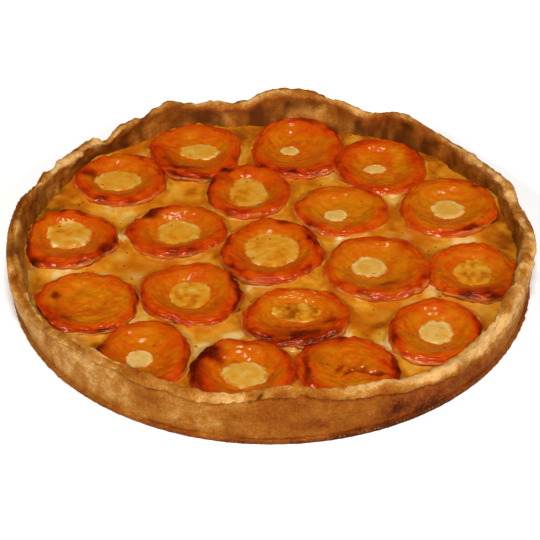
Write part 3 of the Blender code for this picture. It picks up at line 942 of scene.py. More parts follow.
    def add_relief(self, body: Body, angle: Array, course: Array, crest: int) -> None:
        """Moves the shell's skin: dents of fingers, floury roughness, creases, and the crack.

        Args:
            body: The shell's body, changed in place.
            angle: The direction of each column, in degrees.
            course: How far round the section each point lies, in control points.
            crest: The control point of the crest.
        """
        rings = body.rings
        height = rings[..., 2]
        outer = between(course, 4.5, 6.5, crest + 3.5, crest + 4.5)
        lip = between(course, 7.8, 9.0, crest + 1.4, crest + 2.4)
        within = between(course, crest + 1.0, crest + 2.0, crest + 3.5, crest + 4.5)
        upright = places(rings[..., 0], rings[..., 1], 0.22 * height)
        pleats = 0.50 * np.abs(noise(upright, 5 * MM, 6, 2)) ** 0.8
        folds = 0.9 * noise(upright, 9 * MM, 11, 2) + 0.35 * noise(rings, 3 * MM, 15, 2)
        crumple = 1.5 * np.abs(noise(rings, 7 * MM, 16, 3)) - 0.7
        crumpled = hump(angle, -8, 62) + 0.9 * hump(angle, 143, 34)
        knobs = layered(rings, self.knobs) - crumple * crumpled
        amount = outer * (layered(rings, self.dents) - 0.45 + layered(rings, self.flour))
        amount = amount + lip * (knobs - pleats - 0.1) + within * folds
        broken = smooth(noise(rings, 17 * MM, 12), -0.35, 0.25)
        amount -= self.crease_depth * broken * bell(self.off_crease(rings, course), self.crease_width)
        off_fold = course - (crest - 0.9) - 0.15 * noise(rings, 9 * MM, 13)
        amount -= 1.5 * bell(off_fold, 0.30) * hump(angle, -172, 40)
        amount += between(course, 1.5, 2.5, 4.0, 5.0) * layered(rings, self.foot_crumbs)
        near = between(course, 6.0, 7.0, crest + 1.0, crest + 2.0)
        for mark in self.marks:
            if mark.lift:
                amount += mark.lift * near * raised(mark.distance(angle, height, self.wall_radius))
        body.swell(np.minimum(amount, 0.9) * MM)
        body.rings[..., 2] = np.clip(body.rings[..., 2], 0, self.highest)
        reach = np.hypot(body.rings[..., 0], body.rings[..., 1])
        most = np.minimum(self.foot_radius + self.bulge(angle) - 0.3 * MM, self.widest)
        hold = np.minimum(1, most / np.maximum(reach, MM))
        body.rings[..., :2] *= hold[..., None]

    def add_numbers(self, body: Body, angle: Array, course: Array, crest: int) -> None:
        """Works out how far the shell baked, soaked and burnt at each point, with painted shade and
        painted light in the bake.

        Args:
            body: The shell's body, changed in place.
            angle: The direction of each column, in degrees.
            course: How far round the section each point lies, in control points.
            crest: The control point of the crest.
        """
        rings = body.rings
        height = rings[..., 2]
        shaken_height = height + 0.9 * MM * noise(rings, 5 * MM, 21, 2)
        shaken_angle = angle + 0.5 * noise(rings, 4 * MM, 22, 2)
        tint = {kind: np.zeros_like(height) for kind in Tint}
        for mark in self.marks:
            away = mark.distance(shaken_angle, shaken_height, self.wall_radius)
            tint[mark.tint] = 1 - (1 - tint[mark.tint]) * (1 - mark.strength * coloured(away))
        inside = smooth(course, crest + 0.8, crest + 1.8)
        outside = 1 - smooth(course, crest - 1.5, crest)

        # Even baking, browner at the ledge and where fat fried the foot. Outside, browner at the front
        # and right and paler at the left: partly real browning, partly painted shade on the side turned
        # from the key lamp and painted light on the side facing it.
        bake = 0.41 + 0.14 * noise(rings, 24 * MM, 24) + 0.14 * noise(rings, 6 * MM, 25, 2)
        bake = bake + outside * (0.30 * hump(angle, -62, 56) - 0.10 * hump(angle, -160, 60))
        bake = bake + 0.14 * (1 - smooth(height, 1 * MM, 7 * MM))
        fried = outside * (1 - smooth(shaken_height, 1.5 * MM, 3.6 * MM))
        bake = bake + 0.24 * fried * (0.3 + 0.7 * hump(angle, -100, 75))

        # The lip's outer edge is browner away from the front, and its crown stayed pale.
        edge = bell(course - crest + 0.9, 0.8)
        browner = 0.23 * (1 - hump(angle, -50, 100)) + 0.22 * noise(rings, 6 * MM, 26)
        bake = bake + edge * browner - 0.14 * edge * hump(angle, -60, 90)
        crown = bell(course - crest - 0.6, 0.7)
        bake = bake - 0.22 * crown * (0.5 + 1.2 * noise(rings, 9 * MM, 27))
        # Painted shade: the crease under the lip is drawn darker.
        bake = bake + 0.20 * bell(self.off_crease(rings, course), self.crease_width)
        bake = bake - 0.10 * smooth(course, 8.4, 9.0) * outside
        # The brown and pale marks: partly real colour, partly painted shade in the seam notch and low on
        # the right wall, and painted light on the right shoulder and left wall.
        bake = bake + 0.24 * tint[Tint.BLUSH] - 0.52 * tint[Tint.PALE] + 0.10 * inside

        # The filling soaked the inner wall, most at the back, and left a caramel line above.
        below_top = (self.rim_height(angle) - shaken_height) / MM
        ragged_height = noise(rings, 8 * MM, 23, 2)
        soaked = 0.15 + 0.85 * hump(angle, 85, 130)
        drips = noise(places(rings[..., 0], rings[..., 1], 0.3 * height), 7 * MM, 28, 2)
        soak = inside * smooth(below_top + 1.6 * ragged_height, 3.2, 6.0) * soaked
        caramel = inside * bell(below_top + 1.2 * ragged_height - 4.2, 1.1)
        body.attributes = {
            "bake": bake,
            "soak": 0.9 * soak * (0.66 + 0.95 * drips),
            "caramel": 0.8 * caramel * soaked,
            "char": 0.9 * tint[Tint.CHAR],
        }


# ---------------------------------------------------------------------------------------------
# The fruit


@dataclass
class Apricot:
    """One apricot half: where it lies, its outline, its lip and hollow, and how it roasted.

    Lengths are in millimetres. out and turn say how far it lies from its even place, outwards and
    round the ring. right and back move the hollow's middle. fold is the direction of the side that
    stands up highest, by rise. yellow is how yellow its flesh stayed, wrinkled how far its skin
    shrank, and swirl how deep the coil in its hollow is.
    """

    out: float
    turn: float
    width: float
    depth: float
    hollow: float
    right: float
    back: float
    pool_width: float
    pool_depth: float
    fold: float
    rise: float
    yellow: float = 0.5
    wrinkled: float = 1.0
    pool_bake: float = 0.5
    swirl: float = 0.0
    number: int = 0
    x: float = 0.0
    y: float = 0.0
    fences: list[tuple[float, float]] = field(default_factory=list)

    sides = 168
    edge_steps = 720
    bottom = 7.0 * MM
    lip_height = 18.0 * MM
    lip_share = 0.89
    hollow_power = 2.2
    lip_wobble = 0.5 * MM
    fold_spread = 95
    outline_wobble = 0.03
    plumpness = 0.32
    plump_share = 0.69
    plump_width = 0.15
    spread = (1.02, 0.05)
    overlap = 2.4 * MM
    meeting_reach = 2.6
    wall_clearance = 0.9 * MM
    corner = 2.4 * MM
    first_seed = 100
    first_colour_seed = 300
    seed_step = 7

    # Lobes of the outline: share of the radius, size on a circle of radius 1, seed, octaves.
    lobes = ((0.045, 0.62, 40, 1), (0.024, 0.24, 41, 2))

    # The skin from the bottom up: share of the outline, share of the lip's height, band.
    skin = ((0.50, 0.0, 2.0), (0.86, 0.30, 1.6), (1.0, 0.68, 1.25), (0.98, 0.86, 1.1), (0.90, 0.97, 1.0))

    # The hollow, from the lip inwards: share of the outline. Then the samples of every span.
    inner_shares = (0.81, 0.72, 0.61, 0.48, 0.34, 0.20, 0.08)
    steps = (3, 6, 7, 6, 5, 6, 7, 7, 6, 5, 4)

    # Reliefs, in layers.
    lumps = ((0.55, 10, 0), (0.30, 4.5, 1, 2))
    fibres = ((0.20, 2.2, 3, 2),)

    # How ripe the flesh looks at each band, before the half's own shade and its marks.
    ripe_bands = (0.0, 0.45, 0.62, 0.78, 0.92, 1.02, 1.12, 2.0)
    ripeness = (0.22, 0.22, 0.24, 0.30, 0.50, 0.66, 0.72, 0.80)

    @property
    def node(self) -> str:
        """The name of the solid that this half replaces."""
        return f"apricot_{self.number + 1:02d}"

    @property
    def radius(self) -> float:
        """Its mean radius, in metres."""
        return 0.25 * (self.width + self.depth) * MM

    def settle(self, number: int, ring_radius: float, direction: float) -> None:
        """Gives the half its number and its place in its ring."""
        self.number = number
        turn = math.radians(direction + self.turn)
        reach = ring_radius + self.out * MM
        self.x = reach * math.cos(turn)
        self.y = reach * math.sin(turn)

    def meet(self, other: "Apricot") -> None:
        """Stops this half just beyond the line where it meets another, as the two grew together."""
        dx, dy = other.x - self.x, other.y - self.y
        apart = math.hypot(dx, dy)
        if apart > self.meeting_reach * max(self.radius, other.radius):
            return
        share = self.radius / (self.radius + other.radius)
        self.fences.append((math.atan2(dy, dx), share * apart + 0.5 * self.overlap))

    def outline(self, turn: Array) -> Array:
        """Distance of the outline from the half's middle in a direction (radians)."""
        across, along = 0.5 * self.width * MM, 0.5 * self.depth * MM
        reach = across * along / np.hypot(along * np.cos(turn), across * np.sin(turn))
        phase = 2.4 * self.number
        wobble = np.sin(2 * turn + phase) + 0.6 * np.cos(3 * turn - phase)
        reach = reach * (1 + self.outline_wobble * wobble)
        for direction, distance in self.fences:
            facing = np.cos(turn - direction)
            limit = np.where(facing > 0.05, distance / np.maximum(facing, 0.05), 1.0)
            blend = np.clip(0.5 + 0.5 * (limit - reach) / self.corner, 0, 1)
            reach = limit * (1 - blend) + reach * blend - self.corner * blend * (1 - blend) * 0.5
        return reach

    def edge(self, turn: Array) -> Array:
        """The outline with the lobes and dents that it shrank into as it roasted."""
        steps = turns(self.edge_steps)
        circle = around(1.0, steps, self.number)
        lobes = sum(share * noise(circle, *layer) for share, *layer in self.lobes)
        grown = self.spread[0] + self.spread[1] * np.sin(turn) ** 2
        return self.outline(turn) * (grown + np.interp(turn, steps, lobes, period=TAU))

    def lip(self, turn: Array) -> Array:
        """Height of the lip in a direction."""
        fold = self.rise * MM * hump(np.degrees(turn), self.fold, self.fold_spread)
        return self.lip_height + fold + self.lip_wobble * np.sin(2 * turn + 1.7 * self.number)

    def hollow_height(self, turn: Array, share: Array | float) -> Array:
        """Height of the flesh at a share of the outline: a plump ring that falls to the hollow."""
        depth = 1 - (share / self.lip_share) ** self.hollow_power
        rise = (1 - depth) * (self.lip(turn) - self.lip_height)
        plump = self.plumpness * self.hollow * MM * bell(share - self.plump_share, self.plump_width)
        return self.lip_height - depth * self.hollow * MM + rise + plump

    def middle(self, share: Array | float) -> tuple[Array, Array]:
        """Middle of the section at a share: inside the lip it moves to the hollow's."""
        slide = np.maximum(0.0, 1 - share / self.lip_share)
        return self.x + slide * self.right * MM, self.y + slide * self.back * MM

    def share_at(self, x: Array, y: Array) -> Array:
        """How far out plan places lie, as a share of the outline."""
        reach = np.hypot(x - self.x, y - self.y)
        return reach / self.edge(np.arctan2(y - self.y, x - self.x))

    def make(self, shell: Shell, finish: Material) -> Thing:
        """Builds the half: its skin from the bottom up to the lip, and the hollow inside.

        Args:
            shell: The pastry shell that holds it.
            finish: Its material.

        Returns:
            The half's object.
        """
        turn = turns(self.sides)
        lip = self.lip(turn)
        shares = [share for share, _, _ in self.skin] + list(self.inner_shares)
        heights = [self.bottom + rise * (lip - self.bottom) for _, rise, _ in self.skin]
        heights += [self.hollow_height(turn, share) for share in self.inner_shares]
        bands = [band for _, _, band in self.skin]
        bands += [share / self.lip_share for share in self.inner_shares]
        share = spline(shares, self.steps)[:, None]
        band = spline(bands, self.steps)[:, None] + 0.0 * turn
        height = spline(heights, self.steps)
        middle_x, middle_y = self.middle(np.where(band > 1, 1.0, share))
        edge = self.edge(turn)
        x = middle_x + share * edge * np.cos(turn)
        y = middle_y + share * edge * np.sin(turn)
        most = shell.inner_radius(np.degrees(np.arctan2(y, x)), height) - self.wall_clearance
        squeeze = np.minimum(1.0, most / np.maximum(np.hypot(x, y), 1e-9))
        rings = places(x * squeeze, y * squeeze, height)
        heart_x, heart_y = self.middle(0.0)
        poles = (
            np.array((self.x, self.y, self.bottom)),
            np.array((heart_x, heart_y, self.lip_height - self.hollow * MM)),
        )
        body = Body(f"apricot_half_{self.number + 1:02d}", rings, poles)
        self.add_relief(body, turn, band)
        self.add_numbers(body, turn, band)
        return body.build(finish)

    def streaks(
        self, turn: Array, band: Array, along: float, across: float, seed: int, octaves: int = 1
    ) -> Array:
        """A relief that runs round the fruit: this long along it and this wide across it (mm)."""
        reach = self.radius / MM
        plan = around(reach, turn) / along
        points = places(plan[..., 0], plan[..., 1], band * reach / across)
        return noise(points, 1.0, seed, octaves)

    def add_relief(self, body: Body, turn: Array, band: Array) -> None:
        """Moves the skin: lumps, wrinkles that run along the lip, fine fibres, and the marks.

        Args:
            body: The half's body, changed in place.
            turn: The direction of each column, in radians.
            band: 0 in the heart of the hollow, 1 at the lip, 2 at the bottom of the skin.
        """
        rings = body.rings
        seed = self.first_seed + self.seed_step * self.number
        on_skin = between(band, 0.84, 1.0, 1.5, 1.8)
        in_hollow = 1 - smooth(band, 0.85, 1.0)
        folded = np.abs(self.streaks(turn, band, 8.0, 2.4, seed + 2, 2))
        creased = np.abs(self.streaks(turn, band, 4.0, 1.1, seed + 5))
        gathers = np.abs(self.streaks(turn, band, 1.7, 7.0, seed + 6))
        wrinkles = 0.95 * folded**0.7 + 0.60 * creased**0.7 + 0.25 * gathers - 0.80
        rippled = 0.36 * self.streaks(turn, band, 9.0, 2.8, seed + 4, 2)
        coil = np.sin(turn - 9.0 * band + 2.5 * noise(rings, 12 * MM, seed + 7))
        rippled = rippled + self.swirl * coil * between(band, 0.05, 0.25, 0.6, 0.85)
        amount = layered(rings, self.lumps, seed) * (0.5 + 0.5 * on_skin)
        amount = amount + on_skin * self.wrinkled * wrinkles
        amount = amount + in_hollow * (layered(rings, self.fibres, seed) + rippled) - 0.15
        lift = lifted(FRUIT_MARKS, rings[..., 0], rings[..., 1])
        body.swell(amount * MM + lift * (1 - smooth(band, 1.1, 1.3)))

    def add_numbers(self, body: Body, turn: Array, band: Array) -> None:
        """Works out how ripe and how burnt each point looks, and where the pale skin colour lies, partly
        the skin's tan and partly painted highlight.

        Args:
            body: The half's body, changed in place.
            turn: The direction of each column, in radians.
            band: 0 in the heart of the hollow, 1 at the lip, 2 at the bottom of the skin.
        """
        x, y = body.rings[..., 0], body.rings[..., 1]
        seed = self.first_colour_seed + self.seed_step * self.number
        shaken = band + 0.06 * self.streaks(turn, band, 6.0, 6.0, seed, 2)
        streaks = self.streaks(turn, band, 8.0, 2.2, seed + 1, 2)
        blotches = noise(body.rings, 7 * MM, seed + 2, 3)
        char = tinted(FRUIT_MARKS, Tint.CHAR, x, y)
        ripe = np.interp(shaken, self.ripe_bands, self.ripeness)
        ripe = ripe + 0.18 * (0.7 - self.yellow) * between(shaken, 0.55, 0.95, 1.1, 1.3)
        ripe = ripe - 0.18 * (self.yellow - 0.5) * (1 - smooth(band, 0.85, 1.05))
        ripe = ripe + 0.14 * streaks + 0.16 * blotches + 0.30 * char
        ripe = ripe + 0.16 * tinted(FRUIT_MARKS, Tint.BLUSH, x, y)
        ripe = ripe - 0.22 * tinted(FRUIT_MARKS, Tint.GOLD, x, y)
        # The pale skin colour under the lip, streaked along it: partly real skin, partly painted
        # highlight.
        skin = smooth(shaken, 1.07, 1.17) * (0.45 + 0.6 * streaks)
        body.attributes = {"ripe": ripe, "skin": np.clip(skin, 0.0, 0.8), "char": 0.85 * char}


@dataclass
class Pool:
    """The custard that set in a half's hollow: a thin lens that ends in the flesh."""

    fruit: Apricot
    under: BVHTree

    sides = 96
    shore_share = 0.965
    shares = (0.0, *np.linspace(0.06, 0.89, 14), 0.93, shore_share, 0.99, 1.01, 1.03, 1.05)
    stand = 0.42 * MM
    sunk = 0.25 * MM
    dome = 0.25 * MM
    first_seed = 500
    first_colour_seed = 700
    seed_step = 11

    @property
    def node(self) -> str:
        """The name of the solid that this pool replaces."""
        return f"custard_pool_{self.fruit.number + 1:02d}"

    def make(self, finish: Material) -> Thing:
        """Builds the pool on the hollow that it lies in."""
        fruit = self.fruit
        seed = self.first_seed + self.seed_step * fruit.number
        turn = turns(self.sides)
        circle = around(1.0, turn, fruit.number)
        shape = 1 + 0.08 * noise(circle, 0.9, seed) + 0.075 * noise(circle, 0.27, seed + 1, 3)
        heart_x, heart_y = fruit.middle(0.0)
        across, along = 0.5 * fruit.pool_width * MM, 0.5 * fruit.pool_depth * MM
        inward = self.shares[::-1]
        shares = np.array(inward)[:, None]
        x = heart_x + shares * across * shape * np.cos(turn)
        y = heart_y + shares * along * shape * np.sin(turn)
        floor = heights_under(self.under, x, y)
        level = np.percentile(floor[inward.index(self.shore_share)], 60) + 0.15 * MM
        dome = self.dome * (1 - shares**2) + 0.10 * MM * noise(places(x, y), 3 * MM, seed + 2, 2)
        skin = np.maximum(level + dome, floor + self.stand * 0.5)
        rounding = np.sqrt(np.clip(1 - smooth(shares, 0.86, 1.04) ** 2, 0, 1))
        top = (floor - self.sunk) + (skin - floor + self.sunk) * rounding
        bottom = floor[:-1][::-1] - 2 * self.sunk
        low = places(x[:-1][::-1], y[:-1][::-1], bottom)
        high = places(x[:-1], y[:-1], top[:-1])
        heart = np.array((heart_x, heart_y, 0.0))
        poles = (heart + (0, 0, bottom[0].mean()), heart + (0, 0, top[-2].mean()))
        body = Body(f"custard_pool_skin_{fruit.number + 1:02d}", np.concatenate([low, high]), poles)
        self.add_numbers(body, np.concatenate([shares[:-1][::-1], shares[:-1]]) + 0.0 * turn)
        return body.build(finish)

    def add_numbers(self, body: Body, share: Array) -> None:
        """Works out how far the pool baked, and how the flesh stains its ragged shore."""
        plan = places(body.rings[..., 0], body.rings[..., 1])
        seed = self.first_colour_seed + self.seed_step * self.fruit.number
        blotches = noise(plan, 6 * MM, seed, 2)
        mottle = noise(plan, 2.2 * MM, seed + 3, 2)
        pale = smooth(share + 0.14 * blotches + 0.06 * mottle, 0.62, 0.88)
        baked = self.fruit.pool_bake
        bake = baked * (0.74 + 0.45 * blotches + 0.34 * mottle) - 0.12 * pale + 0.12
        stain = baked * np.clip(0.15 * blotches + 0.22 * mottle, 0, 1)
        shore = smooth(share + 0.08 * mottle + 0.05 * blotches, 0.86, 1.02)
        body.attributes = {"bake": bake, "juice": stain + 0.50 * shore, "char": np.zeros_like(bake)}


@dataclass
class Fruit:
    """All the apricot halves, laid out in three rings."""

    ring_radii: tuple[float, ...] = (0.0, 53.0 * MM, 100.0 * MM)
    ring_counts: tuple[int, ...] = (1, 6, 12)
    ring_starts: tuple[float, ...] = (0, 43, -10)
    halves: list[Apricot] = field(
        default_factory=lambda: [
            Apricot(1.5, -84, 50.5, 51.0, 4.8, 0.0, 3.0, 28, 28, -80, 0.9, 0.45, 0.9, 0.50),
            Apricot(-3.5, 0, 46.5, 41.5, 3.4, -3.0, -2.5, 12, 10, 95, 0.6, 0.9, 0.5, 0.06),
            Apricot(-0.5, 0, 45.0, 42.5, 4.8, 0.0, -1.0, 20, 28, 190, 0.9, 0.3, 0.6, 0.50),
            Apricot(-2.2, -1, 49.5, 42.0, 4.6, 1.0, 1.0, 23, 21, -85, 0.8, 0.4, 1.1, 0.42),
            Apricot(0.5, 0, 50.5, 46.5, 4.6, -1.0, 2.0, 21, 22, 15, 1.0, 0.4, 1.2, 0.54),
            Apricot(3.8, -1, 53.0, 43.5, 4.0, 0.5, 6.0, 24, 15, -90, 1.5, 0.45, 1.7, 0.8),
            Apricot(2.4, 1, 51.5, 51.0, 4.0, -4.5, 3.0, 17, 16, -70, 0.9, 0.75, 1.0, 0.16),
            Apricot(2.5, -1, 48.0, 43.0, 4.2, 0.0, 2.5, 19, 21, -85, 1.1, 0.6, 1.5, 0.68),
            Apricot(-1.3, 2, 50.5, 48.0, 4.2, 0.0, 0.5, 17, 16, -50, 1.2, 0.75, 1.1, 0.16),
            Apricot(-6.0, 2, 49.0, 47.5, 4.0, -3.0, 0.0, 12, 8, 60, 1.0, 0.2, 0.8, 0.1),
            Apricot(-8.0, 1, 51.5, 51.0, 3.6, -4.5, 0.0, 10, 8, 70, 1.2, 0.3, 1.0, 0.1),
            Apricot(-3.5, 5, 47.0, 52.0, 4.0, 2.5, 2.5, 21, 14, -100, 1.2, 0.35, 1.5, 0.40),
            Apricot(1.0, 2, 48.5, 45.0, 4.4, -0.5, 1.5, 25, 18, -80, 0.6, 0.4, 1.2, 0.38),
            Apricot(2.5, 5, 47.5, 45.0, 4.6, -1.0, 5.5, 23, 21, -70, 0.8, 0.4, 1.2, 0.42),
            Apricot(0.7, 6, 50.5, 46.0, 2.2, 2.0, 0.0, 0, 0, 200, 0.7, 0.85, 1.2, swirl=0.5),
            Apricot(2.5, 4, 45.0, 45.0, 3.8, -2.5, -2.0, 13, 13, 170, 0.6, 0.45, 0.7, 0.05),
            Apricot(-2.3, 2, 49.5, 48.0, 4.4, 1.0, 0.5, 22, 20, 160, 1.0, 0.4, 0.9, 0.24),
            Apricot(2.0, 1, 48.5, 46.0, 0.6, 0.0, 0.0, 0, 0, 60, 0.4, 0.45, 1.3),
            Apricot(3.0, 0, 47.0, 45.0, 4.2, 0.5, 1.5, 17, 18, 190, 0.9, 0.6, 0.8, 0.12),
        ]
    )

    def settle(self) -> None:
        """Puts each half in its place, and lets neighbours press on each other."""
        number = 0
        for radius, count, start in zip(self.ring_radii, self.ring_counts, self.ring_starts):
            for step in range(count):
                self.halves[number].settle(number, radius, start + 360 / count * step)
                number += 1
        for half in self.halves:
            for other in self.halves:
                if other is not half:
                    half.meet(other)

    def nearest(self, x: Array, y: Array) -> tuple[Array, Array]:
        """The least share of any half's outline at each place, and its distance in metres."""
        least = np.full(x.shape, 9.0)
        distance = np.full(x.shape, 1.0)
        for half in self.halves:
            share = half.share_at(x, y)
            closer = share < least
            least = np.where(closer, share, least)
            distance = np.where(closer, (share - 1) * half.radius, distance)
        return least, distance


# ---------------------------------------------------------------------------------------------
# The custard


@dataclass
class Custard:
    """The custard round the fruit: a disc that fills the shell, with a pocket for each half."""

    shell: Shell
    fruit: Fruit

    sides = 620
    rings = 118
    gap = 0.35 * MM
    bite = 1.7 * MM
    meniscus_rise = 0.9 * MM
    meniscus_width = 1.6 * MM
    fruit_rise = 2.3 * MM
    fruit_width = 2.3 * MM
    wall_seal = 3.2 * MM
    squeezed_rise = 1.0 * MM

    # The pockets' floor: share of the half's outline, height (mm). A pocket ends at the last share.
    pocket = ((0.0, 6.7), (0.50, 6.7), (0.86, 9.7), (0.93, 11.5), (0.955, 12.6))

    # Reliefs, in layers: the top's ripples, and how unevenly it climbs the fruit.
    ripples = ((0.30, 14, 60), (0.16, 4.5, 61, 2))
    climbing = ((0.4, 11, 65), (0.2, 3.5, 66))

    def surface(self, x: Array, y: Array, wall: Array) -> Array:
        """Height of the custard's top at each place, pockets included.

        Args:
            x: Places across the tart.
            y: Places along it.
            wall: How far each place lies from the shell's wall.

        Returns:
            The heights.
        """
        share, distance = self.fruit.nearest(x, y)
        plan = places(x, y)
        top = self.shell.level + MM * layered(plan, self.ripples)
        top = top + self.meniscus_rise * np.exp(-wall / self.meniscus_width)
        climb = 0.80 + layered(plan, self.climbing)
        top = top + self.fruit_rise * climb * np.exp(-np.maximum(distance, 0) / self.fruit_width)
        top = top + lifted(CUSTARD_MARKS, x, y)
        squeezed = smooth(share, 1.05, 0.97) * smooth(wall, self.wall_seal + MM, self.wall_seal)
        top = top + self.squeezed_rise * squeezed
        shares, floors = np.transpose(self.pocket)
        in_pocket = (share < shares[-1]) & (wall > self.wall_seal)
        return np.where(in_pocket, np.interp(share, shares, floors * MM), top)

    def make(self, finish: Material) -> Thing:
        """Builds the custard: its underside, its side, and its top down to the pockets."""
        turn = turns(self.sides)
        angle = np.degrees(turn)
        side = []
        for height in (self.shell.floor + self.gap, 0.6 * self.shell.level, self.shell.level):
            radius = self.shell.inner_radius(angle, height + 0.0 * angle) - 1.4 * self.gap
            side.append(around(radius, turn, height))
        inward = np.linspace(0, 1, self.rings, endpoint=False)[:, None]
        start = np.hypot(side[-1][:, 0], side[-1][:, 1])
        brink = self.surface(start * np.cos(turn), start * np.sin(turn), 0.0 * start)
        edge = self.shell.inner_radius(angle, brink) + self.bite
        radius = edge * (1 - inward)
        x, y = radius * np.cos(turn), radius * np.sin(turn)
        top = places(x, y, self.surface(x, y, edge - radius))
        middle = np.array((0.0, 0.0, self.shell.floor + self.gap))
        poles = (middle, middle + (0, 0, 2 * MM))
        body = Body("set_custard", np.concatenate([np.array(side), top]), poles)
        self.add_numbers(body)
        return body.build(finish)

    def add_numbers(self, body: Body) -> None:
        """Works out how far the custard baked, and where juice stained it."""
        x, y = body.rings[..., 0], body.rings[..., 1]
        plan = places(x, y)
        _, distance = self.fruit.nearest(x, y)
        distance = distance + 1.2 * MM * noise(plan, 4 * MM, 62, 2)
        pale = tinted(CUSTARD_MARKS, Tint.PALE, x, y)
        bake = 0.41 + 0.12 * smooth(distance, -0.4 * MM, 0.8 * MM) + 0.40 * noise(plan, 8 * MM, 63, 3)
        back = hump(np.degrees(np.arctan2(y, x)), 85, 120) * smooth(np.hypot(x, y), 95 * MM, 118 * MM)
        near = between(distance, -0.6 * MM, 1.2 * MM, 1.2 * MM, 3.4 * MM)
        juice = 0.12 + 0.50 * near + 0.30 * noise(plan, 12 * MM, 64, 2)
        juice = juice + 0.8 * tinted(CUSTARD_MARKS, Tint.JUICE, x, y)
        body.attributes = {
            "bake": bake - 0.46 * pale + 0.25 * back,
            "juice": np.clip(juice * (1 - 0.6 * pale), 0, 0.95),
            "char": 0.9 * tinted(CUSTARD_MARKS, Tint.CHAR, x, y),
        }


# ---------------------------------------------------------------------------------------------
# Grains: what is scattered or repeated, made with Geometry Nodes


@dataclass
class Grains:
    """Many small lumps, one on each point of a cloud, as one mesh."""

    name: str
    smallest: float
    largest: float
    flatness: float
    seed: int

    detail = 1
    lumpiness = 2.3
    unevenness = (1.3, 0.35)
    tilt = 0.3

    def tree(self) -> tuple[Tree, dict[str, str]]:
        """The node tree that puts a lump on each point, and its inputs' identifiers by name."""
        tree = bpy.data.node_groups.new(f"{self.name}_tree", "GeometryNodeTree")
        add = partial(add_node, tree)
        sockets = {
            "Cloud": "NodeSocketGeometry",
            "Smallest": "NodeSocketFloat",
            "Largest": "NodeSocketFloat",
            "Flatness": "NodeSocketFloat",
            "Seed": "NodeSocketInt",
            "Finish": "NodeSocketMaterial",
        }
        keys = {
            key: tree.interface.new_socket(key, in_out="INPUT", socket_type=kind).identifier
            for key, kind in sockets.items()
        }
        tree.interface.new_socket("Grains", in_out="OUTPUT", socket_type="NodeSocketGeometry")
        given = add("NodeGroupInput").outputs
        lump = add("GeometryNodeMeshIcoSphere", {"Radius": 0.5, "Subdivisions": self.detail})
        position = add("GeometryNodeInputPosition").outputs[0]
        rough = add("ShaderNodeTexNoise", {"Vector": position, "Scale": self.lumpiness})
        shift = {0: rough.outputs["Fac"], 1: self.unevenness[0], 2: self.unevenness[1]}
        uneven = add("ShaderNodeMath", shift, operation="MULTIPLY_ADD")
        stretch = {0: position, "Scale": uneven.outputs[0]}
        stretched = add("ShaderNodeVectorMath", stretch, operation="SCALE")
        shape = {"Geometry": lump.outputs["Mesh"], "Position": stretched.outputs[0]}
        rugged = add("GeometryNodeSetPosition", shape)
        turned = {
            "Min": (-self.tilt, -self.tilt, 0.0),
            "Max": (self.tilt, self.tilt, TAU),
            "Seed": given["Seed"],
        }
        spin = add("FunctionNodeRandomValue", turned, data_type="FLOAT_VECTOR")
        sized = {2: given["Smallest"], 3: given["Largest"], "Seed": given["Seed"]}
        width = add("FunctionNodeRandomValue", sized, data_type="FLOAT").outputs[1]
        height = add("ShaderNodeMath", {0: width, 1: given["Flatness"]}, operation="MULTIPLY")
        scale = add("ShaderNodeCombineXYZ", {"X": width, "Y": width, "Z": height.outputs[0]})
        lumps = {
            "Points": given["Cloud"],
            "Instance": rugged.outputs["Geometry"],
            "Rotation": spin.outputs[0],
            "Scale": scale.outputs[0],
        }
        placed = add("GeometryNodeInstanceOnPoints", lumps)
        real = add("GeometryNodeRealizeInstances", {0: placed.outputs[0]})
        paint = {"Geometry": real.outputs[0], "Material": given["Finish"]}
        add("NodeGroupOutput", {0: add("GeometryNodeSetMaterial", paint).outputs[0]})
        return tree, keys

    def make(self, points: Array, finish: Material) -> Thing:
        """Builds the grains.

        Args:
            points: Their places, in metres.
            finish: Their material.

        Returns:
            The object, a plain mesh.
        """
        cloud = bpy.data.meshes.new(f"{self.name}_cloud")
        cloud.from_pydata(points.tolist(), [], [])
        thing = new_thing(self.name, cloud)
        tree, keys = self.tree()
        modifier = thing.modifiers.new("grains", "NODES")
        modifier.node_group = tree
        settings = {
            "Smallest": self.smallest,
            "Largest": self.largest,
            "Flatness": self.flatness,
            "Seed": self.seed,
            "Finish": finish,
        }
        for name, value in settings.items():
            modifier[keys[name]] = value
        graph = bpy.context.evaluated_depsgraph_get()
        mesh = bpy.data.meshes.new_from_object(thing.evaluated_get(graph))
        thing.modifiers.remove(modifier)
        thing.data = mesh
        mesh.name = self.name
        mesh.shade_smooth()
        return thing


# Vanilla and burnt specks that stand out on the filling: x, y (mm).
SPECKS = (
    (-7, 10), (9, -10), (14, 7), (-9, -6), (-51, 23), (-31, -21), (-23, 39), (-6, 37), (-1, 55),
    (-35, 35), (36, -63), (58, -21), (92, -34), (97, -9), (115, -2), (-88, 68), (-89, 60), (-70, 68),
    (-108, 21), (-92, 30), (62, -66), (68, -68), (52, -65), (-36, -75), (83, -37), (-11, -109),
    (-54, 104), (-49, 103), (-53, 81), (-54, 89), (-79, -5), (-71, -11), (-31, 2), (26, 60),
    (30, 57), (74, 56), (55, 62),
)


